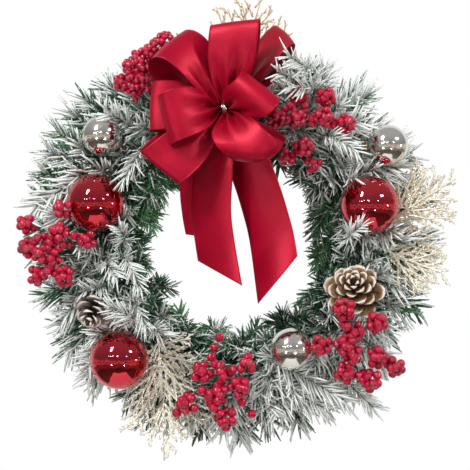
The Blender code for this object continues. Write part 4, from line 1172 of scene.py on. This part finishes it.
# The room: the wreath hangs at door height over a small pale floor, in soft studio light. The backdrop is plain
# white. A large soft lamp stands high on the left, two weaker ones on the right, and small ones give the glints
# in the baubles, as do bands in the world that stand for a room's floor, furniture and walls.
VIEW_HEIGHT = CENTRE[2] + 8.4
VIEW_FAR = 1650.0
FRAME_WIDTH = 493.5
SENSOR = 36.0
bpy.context.scene.view_settings.view_transform = "Standard"
lens = bpy.data.cameras.new("camera")
lens.sensor_width = SENSOR
lens.lens = SENSOR * VIEW_FAR / FRAME_WIDTH
lens.clip_start, lens.clip_end = 0.1, 50.0
camera = bpy.data.objects.new("camera", lens)
camera.location = (0, -VIEW_FAR * MM, VIEW_HEIGHT * MM)
camera.rotation_euler = (math.radians(90), 0, 0)
bpy.context.scene.collection.objects.link(camera)
bpy.context.scene.camera = camera

# the room from its carpet up: furniture in shade and in light, then the wall, lighter to the ceiling
WALLS = (
    (0.0, "#6b655f"), (0.22, "#4d4641"), (0.30, "#8d8478"), (0.35, "#564e48"), (0.40, "#e6dccb"), (0.44, "#6a625b"),
    (0.48, "#e0d9cf"), (0.53, "#807e7d"), (0.70, "#8f9092"), (1.0, "#a9a9a9"),
)
world = bpy.data.worlds.new("studio")
bpy.context.scene.world = world
world.use_nodes = True
tree = world.node_tree
spot = add(tree, "TexCoord", out="Generated")
far = add(tree, "SeparateXYZ", {"Vector": spot}, out="Y")
behind = add(tree, "MapRange", {"Value": far, "From Min": 0.35, "From Max": 0.6})
high = add(tree, "SeparateXYZ", {"Vector": spot}, out="Z")
rise = add(tree, "MapRange", {"Value": high, "From Min": -0.9, "From Max": 0.9})
clutter = add(tree, "TexNoise", {"Vector": spot, "Scale": 5.0, "Detail": 2.0})
shift = add(tree, "MapRange", {"Value": clutter, "To Min": -0.11, "To Max": 0.11})
dim = add(tree, "ValToRGB", {"Fac": add(tree, "Math", {0: rise, 1: shift})}, stops=WALLS)
room = add(tree, "Mix", {0: behind, 6: dim, 7: (0.8, 0.8, 0.8, 1)}, out=2, data_type="RGBA")
seen = add(tree, "LightPath", out="Is Camera Ray")
shown = add(tree, "Mix", {0: seen, 6: room, 7: (1, 1, 1, 1)}, out=2, data_type="RGBA")
feed(tree.nodes["Background"], {"Color": shown})

pale, tree, shader = coating("pale_floor", {"Base Color": linear("#e4e1dc"), "Roughness": 0.7})
corners = np.array([(-700.0, -1200, -1500), (700, -1200, -1500), (700, 1600, -1500), (-700, 1600, -1500)])
floor = piece("floor", [(pale, corners, [np.arange(4)[None]])])
floor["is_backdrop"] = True


def lamp(name, place, width, height, power):
    """A soft box: a rectangular area light that faces the wreath."""
    light = bpy.data.lights.new(name, "AREA")
    light.shape = "RECTANGLE"
    light.size, light.size_y = width, height
    light.energy = power
    made = bpy.data.objects.new(name, light)
    made.location = place
    made.rotation_euler = (Vector(place) - Vector(CENTRE * MM)).to_track_quat("Z", "Y").to_euler()
    bpy.context.scene.collection.objects.link(made)


lamp("key", (-1.25, -1.65, 1.65), 0.25, 0.85, 51)
lamp("fill", (1.75, -1.25, 1.15), 0.4, 0.2, 24)
lamp("side", (2.2, -0.75, -0.15), 0.16, 0.16, 3)
SPOTS_AWAY = 2.2
# how far across and up each small lamp hangs, its width, height and power
SPOTS = (
    (-1.9, 0.62, 0.16, 0.05, 2.2), (-1.4, 0.50, 0.24, 0.04, 3.4), (-0.85, 0.60, 0.10, 0.05, 2.2),
    (-0.2, 0.52, 0.20, 0.04, 3.4), (1.35, 0.58, 0.12, 0.08, 3.0),
    (-1.2, -0.85, 0.20, 0.06, 8.0), (0.85, -0.95, 0.16, 0.08, 7.0),
)
for number, (across, up, width, height, power) in enumerate(SPOTS):
    lamp(f"spot_{number}", (across, -SPOTS_AWAY, up), width, height, power)

low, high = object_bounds()
